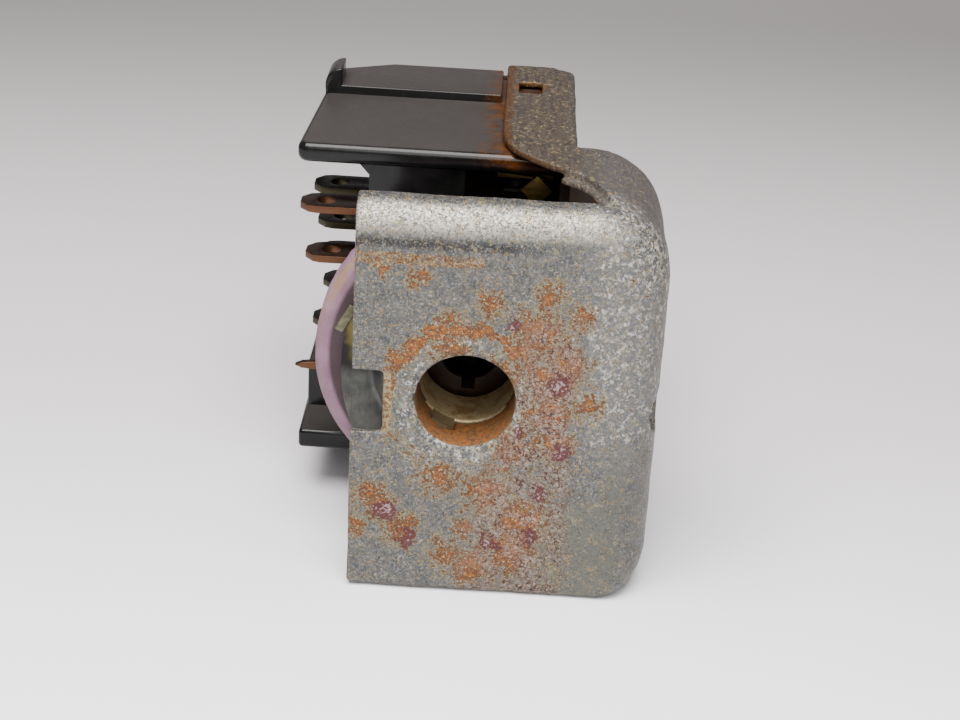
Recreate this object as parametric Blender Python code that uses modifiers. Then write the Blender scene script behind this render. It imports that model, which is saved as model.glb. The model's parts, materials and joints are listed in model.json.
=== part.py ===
"""Pull-out lighting switch with a dimmer disc, built as separate pieces.

Sizes are millimetres in the switch's own frame: x = 0 on the shaft axis, y = 0 on the face that meets the
dashboard, z = 0 on the surface that the switch stands on. The knob side looks along -Y. place() turns these
into Blender's metres, with the origin under the middle of the switch.
"""

import math

import bmesh
import bpy
from mathutils import Matrix, Vector

MM = 0.001
GAP = 0.3                      # clearance between pieces that touch

# Outer sizes
PLATE_LEFT = -16.24            # free edge of the front plate
PLATE_RIGHT = 27.9             # outer face of the side panel
PLATE_HEIGHT = 60.4
SHEET = 1.2                    # steel sheet
SIDE_DEPTH = 30.0              # how far back the side panel reaches
STRAP_LEFT, STRAP_RIGHT = 3.0, 14.3
STRAP_END = 73.0
SHAFT_Z = 31.0                 # height of the shaft axis
BEND_RIGHT, BEND_TOP, BEND_BOTTOM = 7.2, 5.0, 1.4
CORNER_TOP, CORNER_BOTTOM = 11.6, 7.4

# Threaded collar, for a 9/16 inch bezel nut
BORE = 7.15
COLLAR_OUTER = 8.6
COLLAR_END = 8.6
KEY_ANGLE = math.radians(-117)
KEY_WIDTH = 4.1
KEY_DEPTH = 3.0

# Dimmer
CUP_NECK = 7.0
CUP_RIM = 20.6
DISC_RADIUS = 23.1
DISC_FRONT, DISC_BACK = 14.9, 22.7
DISC_BORE = 9.5
GROOVE_INNER, GROOVE_OUTER, GROOVE_FLOOR = 14.2, 19.3, 16.5
COIL_RADIUS, COIL_Y = 16.75, 19.2
COIL_TUBE, COIL_WIRE = 1.9, 0.3
COIL_TURNS, COIL_SWEEP = 34, math.radians(296)
ARM_ANGLE = math.radians(-45)  # where the wiper rests, opposite the gap in the coil
HUB_OUTER, HUB_BORE = 9.0, 4.3
HUB_FRONT, HUB_END = 18.0, 26.8
ARM_Y = 24.3

# Black terminal housing
BODY_LEFT, BODY_RIGHT = -16.8, 13.6
BODY_FRONT, BODY_BACK = 28.5, 69.5
BODY_BOTTOM, BODY_TOP = 1.6, 58.9
BOARD_BOTTOM, BOARD_BACK = 2.0, 71.3
GUIDE_LEFT_FRONT, GUIDE_LEFT_BACK = -27.6, -26.2
GUIDE_THICK = 3.2
STEP_Y, STEP_TOP = 55.0, 60.3
WALL = 2.5
FRONT_WALL_RIGHT = -2.3
LOW_GUIDE_BOTTOM = 7.9

# Blades, 1/4 inch
BLADE_WIDTH, BLADE_THICK = 6.35, 1.1
BLADE_HOLE = 1.5
NEAR_Y, FAR_Y = 31.0, 39.8
NEAR_ROWS = (47.5, 39.4)       # heights of the blades' middles
FAR_ROWS = (47.5, 41.8, 36.4, 31.4, 24.6)
PAD_X = -14.0                  # outer face of the fixed contacts, inside the wall
PAD_THICK = 0.9

# Sliding contact carriage: pulled out by up to CARRIAGE_TRAVEL towards -Y
CARRIAGE_FRONT, CARRIAGE_BACK = 47.0, 62.0
CARRIAGE_HALF = 7.0
CARRIAGE_LOW, CARRIAGE_HIGH = 21.5, 49.4
CARRIAGE_TRAVEL = 12.5
SHAFT_BORE = 3.4

# Shaft release button, on the hidden right side
BUTTON_Y = 38.5
BUTTON_STEM, BUTTON_HEAD = 1.9, 3.8
BUTTON_TIP, BUTTON_TOP = 10.0, 20.0

# Circuit breaker
ARM_ROOT_Y, ARM_TIP_Y = 44.5, 32.0
ARM_Z, ARM_THICK = 51.9, 0.5

COLOURS = {
    "galvanised_steel": ((0.42, 0.41, 0.38), 0.55, 0.75),
    "collar_steel": ((0.45, 0.30, 0.14), 0.7, 0.5),
    "cup_steel": ((0.30, 0.30, 0.29), 0.45, 0.8),
    "zinc": ((0.48, 0.46, 0.28), 0.6, 0.5),
    "ceramic": ((0.36, 0.23, 0.36), 0.75, 0.0),
    "resistance_wire": ((0.35, 0.34, 0.33), 0.4, 0.9),
    "black_phenolic": ((0.02, 0.02, 0.022), 0.35, 0.0),
    "brown_phenolic": ((0.10, 0.05, 0.03), 0.5, 0.0),
    "fibre_board": ((0.10, 0.06, 0.035), 0.8, 0.0),
    "copper": ((0.42, 0.18, 0.09), 0.45, 0.9),
    "dark_copper": ((0.08, 0.075, 0.045), 0.55, 0.7),
    "brass": ((0.50, 0.38, 0.16), 0.4, 0.9),
    "spring_steel": ((0.33, 0.33, 0.34), 0.35, 0.9),
    "silver": ((0.6, 0.6, 0.58), 0.35, 0.9),
}

# The origin lies under the middle of the outer box
CENTRE_X = (GUIDE_LEFT_FRONT + PLATE_RIGHT) / 2
CENTRE_Y = STRAP_END / 2

PARTS = None
CUTTERS = None


def clear_scene():
    for item in list(bpy.data.objects):
        bpy.data.objects.remove(item, do_unlink=True)


def make_collections():
    global PARTS, CUTTERS
    PARTS = bpy.data.collections.new("lighting_switch")
    CUTTERS = bpy.data.collections.new("cutters")
    for group in (PARTS, CUTTERS):
        bpy.context.scene.collection.children.link(group)
    CUTTERS.hide_render = True


def place(x, y, z):
    """A point of the switch's own frame, in Blender's metres."""
    return Vector(((x - CENTRE_X) * MM, (y - CENTRE_Y) * MM, z * MM))


def material(slot):
    found = bpy.data.materials.get(slot)
    if found:
        return found
    colour, roughness, metallic = COLOURS[slot]
    made = bpy.data.materials.new(slot)
    made.use_nodes = True
    made.diffuse_color = (*colour, 1.0)
    shader = made.node_tree.nodes["Principled BSDF"]
    shader.inputs["Base Color"].default_value = (*colour, 1.0)
    shader.inputs["Roughness"].default_value = roughness
    shader.inputs["Metallic"].default_value = metallic
    return made


def add_object(name, data, slot, matrix=None):
    """A piece in its material, or a cutter when slot is None."""
    made = bpy.data.objects.new(name, data)
    if matrix is not None:
        made.matrix_world = matrix
    if slot:
        data.materials.append(material(slot))
        PARTS.objects.link(made)
    else:
        CUTTERS.objects.link(made)
        made.hide_render = True
        made.display_type = "WIRE"
    return made


def box(name, low, high, slot=None, bevel=0.0, segments=2):
    """A box from its lowest to its highest corner, its origin at its middle."""
    mesh = bpy.data.meshes.new(name)
    shape = bmesh.new()
    bmesh.ops.create_cube(shape, size=1.0)
    size = [(b - a) * MM for a, b in zip(low, high)]
    bmesh.ops.scale(shape, vec=size, verts=shape.verts)
    shape.to_mesh(mesh)
    shape.free()
    middle = [(a + b) / 2 for a, b in zip(low, high)]
    made = add_object(name, mesh, slot, Matrix.Translation(place(*middle)))
    if bevel:
        round_edges(made, bevel, segments)
    return made


def round_edges(made, width, segments=2):
    modifier = made.modifiers.new("Bevel", "BEVEL")
    modifier.width = width * MM
    modifier.segments = segments
    modifier.limit_method = "ANGLE"
    modifier.angle_limit = math.radians(40)
    return modifier


def axis_matrix(axis, x, y, z):
    """Where a turned piece stands: its own +Z runs along axis."""
    turn = {
        "X": Matrix.Rotation(math.radians(90), 4, "Y"),
        "Y": Matrix.Rotation(math.radians(-90), 4, "X"),
        "Z": Matrix.Identity(4),
    }[axis]
    return Matrix.Translation(place(x, y, z)) @ turn


def turned(name, profile, slot=None, axis="Y", at=(0, 0, SHAFT_Z), steps=48, closed=True):
    """A turned piece. profile holds (radius, along) points, running down the outer side first."""
    mesh = bpy.data.meshes.new(name)
    shape = bmesh.new()
    points = [shape.verts.new((r * MM, 0, a * MM)) for r, a in profile]
    for start, end in zip(points, points[1:]):
        shape.edges.new((start, end))
    if closed:
        shape.edges.new((points[-1], points[0]))
    shape.to_mesh(mesh)
    shape.free()
    made = add_object(name, mesh, slot, axis_matrix(axis, *at))
    screw = made.modifiers.new("Screw", "SCREW")
    screw.axis = "Z"
    screw.steps = steps
    screw.render_steps = steps
    screw.use_merge_vertices = True
    screw.merge_threshold = 0.00001
    screw.use_smooth_shade = False
    return made


def rod(name, radius, low, high, slot=None, axis="Y", at=(0, 0, SHAFT_Z), steps=32):
    """A round bar between two heights on its axis."""
    profile = [(0, high), (radius, high), (radius, low), (0, low)]
    return turned(name, profile, slot, axis, at, steps, closed=False)


def ring(name, inner, outer, low, high, slot=None, axis="Y", at=(0, 0, SHAFT_Z), steps=48):
    profile = [(outer, high), (outer, low), (inner, low), (inner, high)]
    return turned(name, profile, slot, axis, at, steps)


def plate(name, outline, plane, low, high, slot=None):
    """A flat outline with a thickness. plane is XY, XZ or YZ; low to high is its span on the third axis."""
    curve = bpy.data.curves.new(name, "CURVE")
    curve.dimensions = "2D"
    curve.fill_mode = "BOTH"
    curve.extrude = (high - low) / 2 * MM
    spline = curve.splines.new("POLY")
    spline.points.add(len(outline) - 1)
    for point, (a, b) in zip(spline.points, outline):
        point.co = (a * MM, b * MM, 0, 1)
    spline.use_cyclic_u = True
    middle = (low + high) / 2
    columns = {
        "XY": ((1, 0, 0), (0, 1, 0), (0, 0, 1), (0, 0, middle)),
        "XZ": ((1, 0, 0), (0, 0, 1), (0, -1, 0), (0, middle, 0)),
        "YZ": ((0, 1, 0), (0, 0, 1), (1, 0, 0), (middle, 0, 0)),
    }[plane]
    matrix = Matrix.Identity(4)
    for column in range(3):
        for row in range(3):
            matrix[row][column] = columns[column][row]
    matrix.translation = place(*columns[3])
    flat = bpy.data.objects.new(name + "_outline", curve)
    bpy.context.scene.collection.objects.link(flat)
    flat.matrix_world = matrix
    return mesh_from_curve(flat, name, slot)


def mesh_from_curve(flat, name, slot):
    """Replaces a curve object by a closed mesh object in the same place."""
    bpy.context.view_layer.update()
    graph = bpy.context.evaluated_depsgraph_get()
    mesh = bpy.data.meshes.new_from_object(flat.evaluated_get(graph))
    shape = bmesh.new()
    shape.from_mesh(mesh)
    bmesh.ops.remove_doubles(shape, verts=shape.verts, dist=0.000002)
    bmesh.ops.recalc_face_normals(shape, faces=shape.faces)
    shape.to_mesh(mesh)
    shape.free()
    mesh.materials.clear()
    made = add_object(name, mesh, slot, flat.matrix_world.copy())
    bpy.data.objects.remove(flat, do_unlink=True)
    return made


def wire(name, points, radius, slot, resolution=0):
    """A round wire along points of the switch's own frame."""
    curve = bpy.data.curves.new(name, "CURVE")
    curve.dimensions = "3D"
    curve.bevel_depth = radius * MM
    curve.bevel_resolution = resolution
    curve.use_fill_caps = True
    spline = curve.splines.new("POLY")
    spline.points.add(len(points) - 1)
    for point, where in zip(spline.points, points):
        point.co = (*place(*where), 1)
    made = bpy.data.objects.new(name, curve)
    curve.materials.append(material(slot))
    PARTS.objects.link(made)
    return made


def coil_spring(name, axis, start, length, radius, wire_radius, turns, slot="spring_steel", per_turn=10):
    """A compression spring from start along +X or +Y."""
    points = []
    count = turns * per_turn
    for step in range(count + 1):
        angle = 2 * math.pi * step / per_turn
        along = wire_radius + (length - 2 * wire_radius) * step / count
        side, up = radius * math.cos(angle), radius * math.sin(angle)
        x, y, z = start
        points.append((x + along, y + side, z + up) if axis == "X" else (x + side, y + along, z + up))
    return wire(name, points, wire_radius, slot)


def combine(target, tool, operation="DIFFERENCE"):
    modifier = target.modifiers.new(tool.name, "BOOLEAN")
    modifier.operation = operation
    modifier.solver = "EXACT"
    modifier.object = tool


def cut(target, *tools):
    for tool in tools:
        combine(target, tool)


def join(target, *tools):
    for tool in tools:
        combine(target, tool, "UNION")


def arc(centre, radius, start, end, steps):
    """Points on an arc between two angles in degrees."""
    points = []
    for step in range(steps + 1):
        angle = math.radians(start + (end - start) * step / steps)
        points.append((centre[0] + radius * math.cos(angle), centre[1] + radius * math.sin(angle)))
    return points


def polar(radius, angle):
    """A point at an angle round the shaft axis, as x and z."""
    return radius * math.cos(angle), SHAFT_Z + radius * math.sin(angle)


# Frame -------------------------------------------------------------------------------------------------------


def frame_outline():
    """The frame's outer edge seen from the front: (x, z), outward normal and the bend radius there."""
    bottom_centre = (PLATE_RIGHT - CORNER_BOTTOM, CORNER_BOTTOM)
    top_centre = (PLATE_RIGHT - CORNER_TOP, PLATE_HEIGHT - CORNER_TOP)
    points = []
    for x in (PLATE_LEFT, STRAP_LEFT, bottom_centre[0] - 2):
        points.append(((x, 0.0), (0, -1), BEND_BOTTOM))
    for centre, radius, start, first, last in (
        (bottom_centre, CORNER_BOTTOM, -90, BEND_BOTTOM, BEND_RIGHT),
        (top_centre, CORNER_TOP, 0, BEND_RIGHT, BEND_TOP),
    ):
        steps = 8
        for step in range(steps + 1):
            share = step / steps
            angle = math.radians(start + 90 * share)
            normal = (math.cos(angle), math.sin(angle))
            spot = (centre[0] + radius * normal[0], centre[1] + radius * normal[1])
            ease = math.sin(share * math.pi / 2) ** 2
            points.append((spot, normal, first + (last - first) * ease))
    for x in (top_centre[0] - 3, PLATE_LEFT):
        points.append(((x, PLATE_HEIGHT), (0, 1), BEND_TOP))
    return points


def frame_surface(name, slot):
    """The pressed sheet: a flat front whose top, right and bottom edges bend back, all one thickness."""
    outline = frame_outline()
    rings = []
    bend_steps = 6
    for step in range(bend_steps + 1):
        angle = math.pi / 2 * step / bend_steps
        rings.append([
            (x - nx * r * (1 - math.sin(angle)), r * (1 - math.cos(angle)), z - nz * r * (1 - math.sin(angle)))
            for (x, z), (nx, nz), r in outline
        ])
    for depth in (SIDE_DEPTH, STRAP_END):
        rings.append([(x, depth, z) for (x, z), _, _ in outline])
    mesh = bpy.data.meshes.new(name)
    shape = bmesh.new()
    rows = [[shape.verts.new(place(*spot)) for spot in ring_points] for ring_points in rings]
    shape.faces.new(rows[0])
    for front, back in zip(rows, rows[1:]):
        for i in range(len(outline) - 1):
            shape.faces.new((front[i], back[i], back[i + 1], front[i + 1]))
    bmesh.ops.recalc_face_normals(shape, faces=shape.faces)
    shape.to_mesh(mesh)
    shape.free()
    made = add_object(name, mesh, slot)
    skin = made.modifiers.new("Solidify", "SOLIDIFY")
    skin.thickness = SHEET * MM
    skin.offset = -1
    skin.use_even_offset = True
    return made


def build_frame():
    frame = frame_surface("frame", "galvanised_steel")
    beyond = STRAP_END + 10
    far_left = PLATE_LEFT - 10
    behind_side = box("side_trim", (STRAP_RIGHT, SIDE_DEPTH, -5), (PLATE_RIGHT + 5, beyond, 70))
    top_opening = plate(
        "top_opening",
        [(far_left, 5.2), (18.6, 5.2), (19.4, 6.0), (18.0, 11.5), (15.2, 17.4), (12.6, 19.4), (7.4, 24.3),
         (4.2, 28.7), (STRAP_LEFT, 35.8), (STRAP_LEFT, beyond), (far_left, beyond)],
        "XY", PLATE_HEIGHT - 8, PLATE_HEIGHT + 5,
    )
    bottom_opening = plate(
        "bottom_opening",
        [(far_left, 5.2), (12.0, 5.2)] + arc((12.0, 14.2), 9.0, -90, -180, 4)[1:-1]
        + [(STRAP_LEFT, 16.0), (STRAP_LEFT, beyond), (far_left, beyond)],
        "XY", -5, 5,
    )
    hole = rod("bezel_hole", COLLAR_OUTER + GAP, -5, 5, at=(0, 0, SHAFT_Z))
    side_hole = rod("side_hole", 3.1, 20, 35, axis="X", at=(0, 6.5, 29.0), steps=24)
    notch = box("notch", (far_left, -2, 25.7), (-10.4, 4, 35.1))
    slot = box("strap_slot", (5.0, 57.8, PLATE_HEIGHT - 5), (8.8, 62.8, PLATE_HEIGHT + 5))
    corner = plate(
        "strap_corner",
        [(STRAP_RIGHT + 2, STRAP_END - 4), (STRAP_RIGHT, STRAP_END - 4)]
        + arc((STRAP_RIGHT - 3, STRAP_END - 4), 3, 0, 90, 5)
        + [(STRAP_RIGHT - 3, beyond), (STRAP_RIGHT + 2, beyond)],
        "XY", -5, PLATE_HEIGHT + 5,
    )
    cut(frame, behind_side, top_opening, bottom_opening, hole, side_hole, notch, slot, corner)
    lip_back = STRAP_END
    top_lip = box("top_lip", (STRAP_LEFT, lip_back - SHEET, 52.5), (STRAP_RIGHT - 3, lip_back, PLATE_HEIGHT))
    low_lip = box("low_lip", (STRAP_LEFT, lip_back - SHEET, 0), (STRAP_RIGHT - 3, lip_back, 8.0))
    key_tab = box("lanced_tab", (-11.6, 0.4, 26.4), (-10.3, 4.6, 34.4))
    join(frame, top_lip, low_lip, key_tab)


def turn_about_shaft(made, angle):
    """Turns an unparented piece round the shaft axis, from +X towards +Z."""
    bpy.context.view_layer.update()
    axis = Matrix.Translation(place(0, 0, SHAFT_Z))
    made.matrix_world = axis @ Matrix.Rotation(-angle, 4, "Y") @ axis.inverted() @ made.matrix_world


def key_cutter(name, width, low, high):
    """A bar that runs out from the shaft axis at the key's angle."""
    bar = box(name, (0, low, SHAFT_Z - width / 2), (12, high, SHAFT_Z + width / 2))
    turn_about_shaft(bar, KEY_ANGLE)
    return bar


def build_collar():
    profile = [
        (BORE, 0.0), (COLLAR_OUTER, 0.0), (COLLAR_OUTER, SHEET + GAP), (10.2, SHEET + GAP),
        (10.2, 2.7), (COLLAR_OUTER, 2.7), (COLLAR_OUTER, COLLAR_END), (BORE, COLLAR_END),
    ]
    collar = turned("bezel_collar", profile[::-1], "collar_steel", steps=64)
    cut(collar, key_cutter("collar_key", KEY_WIDTH, COLLAR_END - KEY_DEPTH, COLLAR_END + 1))


# Dimmer ------------------------------------------------------------------------------------------------------


def build_cup():
    """The pressed cup that carries the dimmer: rim, dome and neck, with a tongue in the collar's notch."""
    outer = CUP_NECK + 1.2
    profile = [
        (CUP_NECK, COLLAR_END + GAP), (outer, COLLAR_END + GAP), (outer, 9.6), (12.4, 9.6), (14.4, 13.2),
        (CUP_RIM, 13.2), (CUP_RIM, 14.4), (13.8, 14.4), (11.8, 10.8), (outer, 10.8), (outer, 17.5),
        (CUP_NECK, 17.5),
    ]
    cup = turned("dimmer_cup", profile[::-1], "cup_steel", steps=64)
    tongue = key_cutter("cup_tongue", KEY_WIDTH - 2 * GAP, COLLAR_END - KEY_DEPTH + GAP, 9.2)
    inset = 0.1
    sleeve = ring("cup_tongue_sleeve", CUP_NECK + inset, outer - inset, COLLAR_END - KEY_DEPTH, 9.4, steps=64)
    combine(tongue, sleeve, "INTERSECT")
    join(cup, tongue)
    flat_side = rod("cup_flat_side", 27.6, 5, 20, at=(8.7, 0, 29.8), steps=96)
    combine(cup, flat_side, "INTERSECT")


def build_disc():
    edge = 1.0
    profile = [
        (DISC_BORE, DISC_FRONT), (DISC_RADIUS - edge, DISC_FRONT), (DISC_RADIUS, DISC_FRONT + edge),
        (DISC_RADIUS, DISC_BACK - edge), (DISC_RADIUS - edge, DISC_BACK), (GROOVE_OUTER, DISC_BACK),
        (GROOVE_OUTER, GROOVE_FLOOR), (GROOVE_INNER, GROOVE_FLOOR), (GROOVE_INNER, DISC_BACK),
        (DISC_BORE, DISC_BACK),
    ]
    turned("dimmer_disc", profile[::-1], "ceramic", steps=72)


def build_coil():
    """The resistance coil, wound round a ring in the disc's rear groove, open at the upper left."""
    points = []
    per_turn = 7
    count = COIL_TURNS * per_turn
    for step in range(count + 1):
        along = ARM_ANGLE - COIL_SWEEP / 2 + COIL_SWEEP * step / count
        angle = 2 * math.pi * step / per_turn
        radius = COIL_RADIUS + COIL_TUBE * math.cos(angle)
        x, z = polar(radius, along)
        points.append((x, COIL_Y + COIL_TUBE * math.sin(angle), z))
    wire("dimmer_coil", points, COIL_WIRE, "resistance_wire")


def build_coil_ends():
    """The two bent ends of the coil's clips, which lie on the cup's rim."""
    for name, x, z, slant in (("coil_clip_left", -18.2, 37.6, 61), ("coil_clip_top", -5.2, 49.1, 106)):
        clip = box(name, (-2.2, -0.5, -0.7), (2.2, 0.1, 0.7), "zinc", bevel=0.2)
        turn = Matrix.Rotation(-math.radians(slant), 4, "Y")
        clip.matrix_world = Matrix.Translation(place(x, 12.6, z)) @ turn


def build_rotor():
    profile = [
        (HUB_BORE, HUB_FRONT), (HUB_OUTER, HUB_FRONT), (HUB_OUTER, 23.0), (11.5, 23.0), (11.5, 24.0),
        (HUB_OUTER, 24.0), (HUB_OUTER, HUB_END), (HUB_BORE, HUB_END),
    ]
    hub = turned("rotor_hub", profile[::-1], "brown_phenolic")
    cut(hub, box("hub_keyway", (-1.0, HUB_FRONT - 2, SHAFT_Z - 6.0), (1.0, HUB_END + 2, SHAFT_Z)))

    half = 3.0
    reach = 18.4
    eye = ring("arm_eye", HUB_OUTER + GAP, 12.0, ARM_Y, ARM_Y + 0.5)
    arm = box("wiper_arm", (10.5, ARM_Y, SHAFT_Z - half), (reach, ARM_Y + 0.5, SHAFT_Z + half), "brass")
    turn_about_shaft(arm, ARM_ANGLE)
    join(arm, eye)
    brush_x, brush_z = polar(COIL_RADIUS, ARM_ANGLE)
    brush = rod("wiper_brush", 1.3, 21.7, ARM_Y - GAP, "silver", at=(brush_x, 0, brush_z), steps=20)
    move_about("rotor_axis", (0, HUB_FRONT, SHAFT_Z), hub, arm, brush)

    ring("insulating_washer", 5.2, 12.0, 27.2, 28.2, "fibre_board", steps=40)
    build_wave_washer()


def build_wave_washer():
    """A thin ring with three waves, from the wiper arm to the insulating washer."""
    inner, outer, thick = HUB_OUTER + 0.4, 11.9, 0.35
    mesh = bpy.data.meshes.new("wave_washer")
    shape = bmesh.new()
    steps = 36
    rows = []
    for step in range(steps):
        angle = 2 * math.pi * step / steps
        middle = 26.0 + 0.55 * math.cos(3 * angle)
        row = []
        for radius, side in ((inner, -1), (outer, -1), (outer, 1), (inner, 1)):
            x, z = polar(radius, angle)
            row.append(shape.verts.new(place(x, middle + side * thick / 2, z)))
        rows.append(row)
    for i in range(steps):
        near, far = rows[i], rows[(i + 1) % steps]
        for j in range(4):
            k = (j + 1) % 4
            shape.faces.new((near[j], near[k], far[k], far[j]))
    bmesh.ops.recalc_face_normals(shape, faces=shape.faces)
    shape.to_mesh(mesh)
    shape.free()
    add_object("wave_washer", mesh, "spring_steel")


def move_about(name, spot, *pieces):
    """Parents the pieces of a moving body to an empty on its joint's axis."""
    empty = bpy.data.objects.new(name, None)
    empty.location = place(*spot)
    empty.empty_display_size = 0.01
    PARTS.objects.link(empty)
    bpy.context.view_layer.update()
    for piece in pieces:
        piece.parent = empty
        piece.matrix_parent_inverse = empty.matrix_world.inverted()


# Terminal housing --------------------------------------------------------------------------------------------


def build_housing():
    """The black moulding: a case that is open to the right, with two guides for the wiring plug."""
    body = box("terminal_housing", (BODY_LEFT, BODY_FRONT, BODY_BOTTOM), (BODY_RIGHT, BODY_BACK, BODY_TOP),
               "black_phenolic")
    guide_bottom = BODY_TOP - GUIDE_THICK
    rear_cut = (BODY_LEFT + 0.8, BODY_BACK)
    top_guide = plate(
        "top_guide",
        [(GUIDE_LEFT_FRONT, BODY_FRONT), (0, BODY_FRONT), (0, BODY_BACK), rear_cut, (-24.6, 65.0),
         (GUIDE_LEFT_BACK, 64.2)],
        "XY", guide_bottom, BODY_TOP,
    )
    raised_right = STRAP_LEFT - 2 * GAP
    raised = plate(
        "raised_rear",
        [(GUIDE_LEFT_BACK, STEP_Y), (raised_right, STEP_Y), (raised_right, BODY_BACK), rear_cut, (-24.6, 65.0),
         (GUIDE_LEFT_BACK, 64.2)],
        "XY", guide_bottom, STEP_TOP,
    )
    ramp = plate(
        "latch_ramp",
        [(GUIDE_LEFT_BACK, STEP_TOP - 1)] + arc((-23.5, STEP_TOP), 2.7, 180, 90, 5) + [(-23.5, STEP_TOP - 1)],
        "XZ", STEP_Y, 62.0,
    )
    gusset = plate(
        "gusset",
        [(BODY_LEFT - 1.6, guide_bottom + 1), (BODY_LEFT - 1.6, guide_bottom), (BODY_LEFT, guide_bottom - 1.8),
         (BODY_LEFT + 1, guide_bottom - 1.8), (BODY_LEFT + 1, guide_bottom + 1)],
        "XZ", BODY_FRONT + 0.5, BODY_BACK - 1,
    )
    low_guide = box("low_guide", (-26.8, BODY_FRONT, LOW_GUIDE_BOTTOM),
                    (BODY_LEFT + 2, 58.0, LOW_GUIDE_BOTTOM + GUIDE_THICK))
    low_block = box("low_block", (-26.4, 38.0, LOW_GUIDE_BOTTOM + 1), (BODY_LEFT + 2, 52.0, 19.0))
    join(body, top_guide, raised, ramp, gusset, low_guide, low_block)

    inside = (BODY_LEFT + WALL, BODY_FRONT + 2, BODY_BOTTOM + GUIDE_THICK)
    cavity = box("cavity", inside, (BODY_RIGHT + 5, BODY_BACK - WALL, guide_bottom))
    mouth = box("mouth", (FRONT_WALL_RIGHT, BODY_FRONT - 5, inside[2]),
                (BODY_RIGHT + 5, BODY_FRONT + 6, guide_bottom))
    shaft_hole = rod("shaft_hole", 5.5, BODY_FRONT - 3, BODY_FRONT + 4)
    cut(body, cavity, mouth, shaft_hole)
    for name, y, z in blade_rows():
        cut(body, box(name + "_slot", (BODY_LEFT - 12, y - GAP, z - BLADE_THICK / 2 - GAP),
                      (BODY_LEFT + WALL + 1, y + BLADE_WIDTH + GAP, z + BLADE_THICK / 2 + GAP)))
    for name, y in (("near_rail", 36.0), ("far_rail", 56.0)):
        join(body, box(name, (-1.5, y, BODY_BOTTOM + 1), (1.5, y + 8, CARRIAGE_LOW - GAP)))
    return body


def build_boards():
    side = box("side_cover", (12.1, BODY_FRONT + 0.3, BODY_BOTTOM + GUIDE_THICK + GAP),
               (13.6, BODY_BACK - WALL - GAP, BODY_TOP - GUIDE_THICK - GAP), "fibre_board")
    cut(side, rod("button_hole", BUTTON_STEM + GAP, 5, 20, axis="X", at=(0, BUTTON_Y, SHAFT_Z), steps=24))
    rear = box("rear_board", (BODY_LEFT + 0.5, BODY_BACK + GAP, BOARD_BOTTOM), (BODY_RIGHT, BOARD_BACK, BODY_TOP),
               "fibre_board", bevel=0.4)
    flange = [(BODY_RIGHT - 1, BOARD_BOTTOM), (24.5, BOARD_BOTTOM), (24.5, 39.5), (18.0, 44.5),
              (BODY_RIGHT - 1, 44.5)]
    join(rear, plate("rear_flange", flange, "XZ", BODY_BACK + GAP, BOARD_BACK))
    for number, (x, z) in enumerate(((-11.0, 50.0), (-11.0, 12.0), (0.0, 50.0), (0.0, 12.0)), 1):
        spot = (x, 0, z)
        cut(rear, rod(f"rivet_hole_{number}", 1.8, BODY_BACK, 75, at=spot, steps=20))
        profile = [(0, 72.6), (1.6, 72.5), (2.8, 71.9), (2.8, 71.6), (1.4, 71.6), (1.4, BODY_BACK + GAP),
                   (0, BODY_BACK + GAP)]
        turned(f"board_rivet_{number}", profile, "brass", at=spot, steps=20, closed=False)


# Terminals ---------------------------------------------------------------------------------------------------


def blade_rows():
    """Each blade's name, the depth of its near edge and its height."""
    near = [(f"blade_near_{number}", NEAR_Y, z) for number, z in enumerate(NEAR_ROWS, 1)]
    far = [(f"blade_far_{number}", FAR_Y, z) for number, z in enumerate(FAR_ROWS, 1)]
    return near + far


BLADE_TIPS = {
    "blade_near_1": -27.5, "blade_near_2": -26.6, "blade_far_1": -26.3, "blade_far_2": -25.6,
    "blade_far_3": -25.4, "blade_far_4": -24.6, "blade_far_5": -26.2,
}


def build_blade(name, y, z):
    """A flat blade with a holed, chamfered tip, and its contact pad inside the wall."""
    slot = "copper" if "near" in name else "dark_copper"
    tip, far = BLADE_TIPS[name], y + BLADE_WIDTH
    chamfer, draw = 1.3, 2.0
    blade = plate(
        name,
        [(tip, y + draw), (tip + chamfer, y + 0.4), (tip + 2.6, y), (PAD_X + 0.5, y), (PAD_X + 0.5, far),
         (tip + 2.6, far), (tip + chamfer, far - 0.4), (tip, far - draw)],
        "XY", z - BLADE_THICK / 2, z + BLADE_THICK / 2, slot,
    )
    cut(blade, rod(name + "_hole", BLADE_HOLE, z - 2, z + 2, axis="Z",
                   at=(tip + 4.0, y + BLADE_WIDTH / 2, 0), steps=20))
    join(blade, box(name + "_pad", (PAD_X, y + 0.4, z - 2.4), (PAD_X + PAD_THICK, far - 0.4, z + 2.4)))


def build_dome_contact():
    """The thin pin and leaf of the dome light contact, beside the wiper."""
    pin = plate(
        "dome_light_pin",
        [(-27.3, 23.4), (-26.2, 22.95), (-24.6, 22.8), (-19.0, 22.8), (-19.0, 24.1), (-24.6, 24.1),
         (-26.2, 23.9)],
        "XZ", 26.2, 27.4, "copper",
    )
    join(pin, box("pin_strip", (-20.0, 26.2, 21.4), (-13.4, 26.7, 25.6)))
    leaf = box("dome_light_leaf", (-15.6, 25.4, 11.0), (-13.6, 25.9, 27.0), "brass")
    join(leaf, box("leaf_foot", (-16.4, 25.4, 10.0), (-12.0, 25.9, 13.5)))
    rod("leaf_rivet", 1.2, 26.2, 28.2, "brass", at=(-14.4, 0, 11.8), steps=16)


# Carriage ----------------------------------------------------------------------------------------------------


def contact_heights():
    return {"contact_upper": 47.0, "contact_middle": 36.3, "contact_lower": 25.4}


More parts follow.
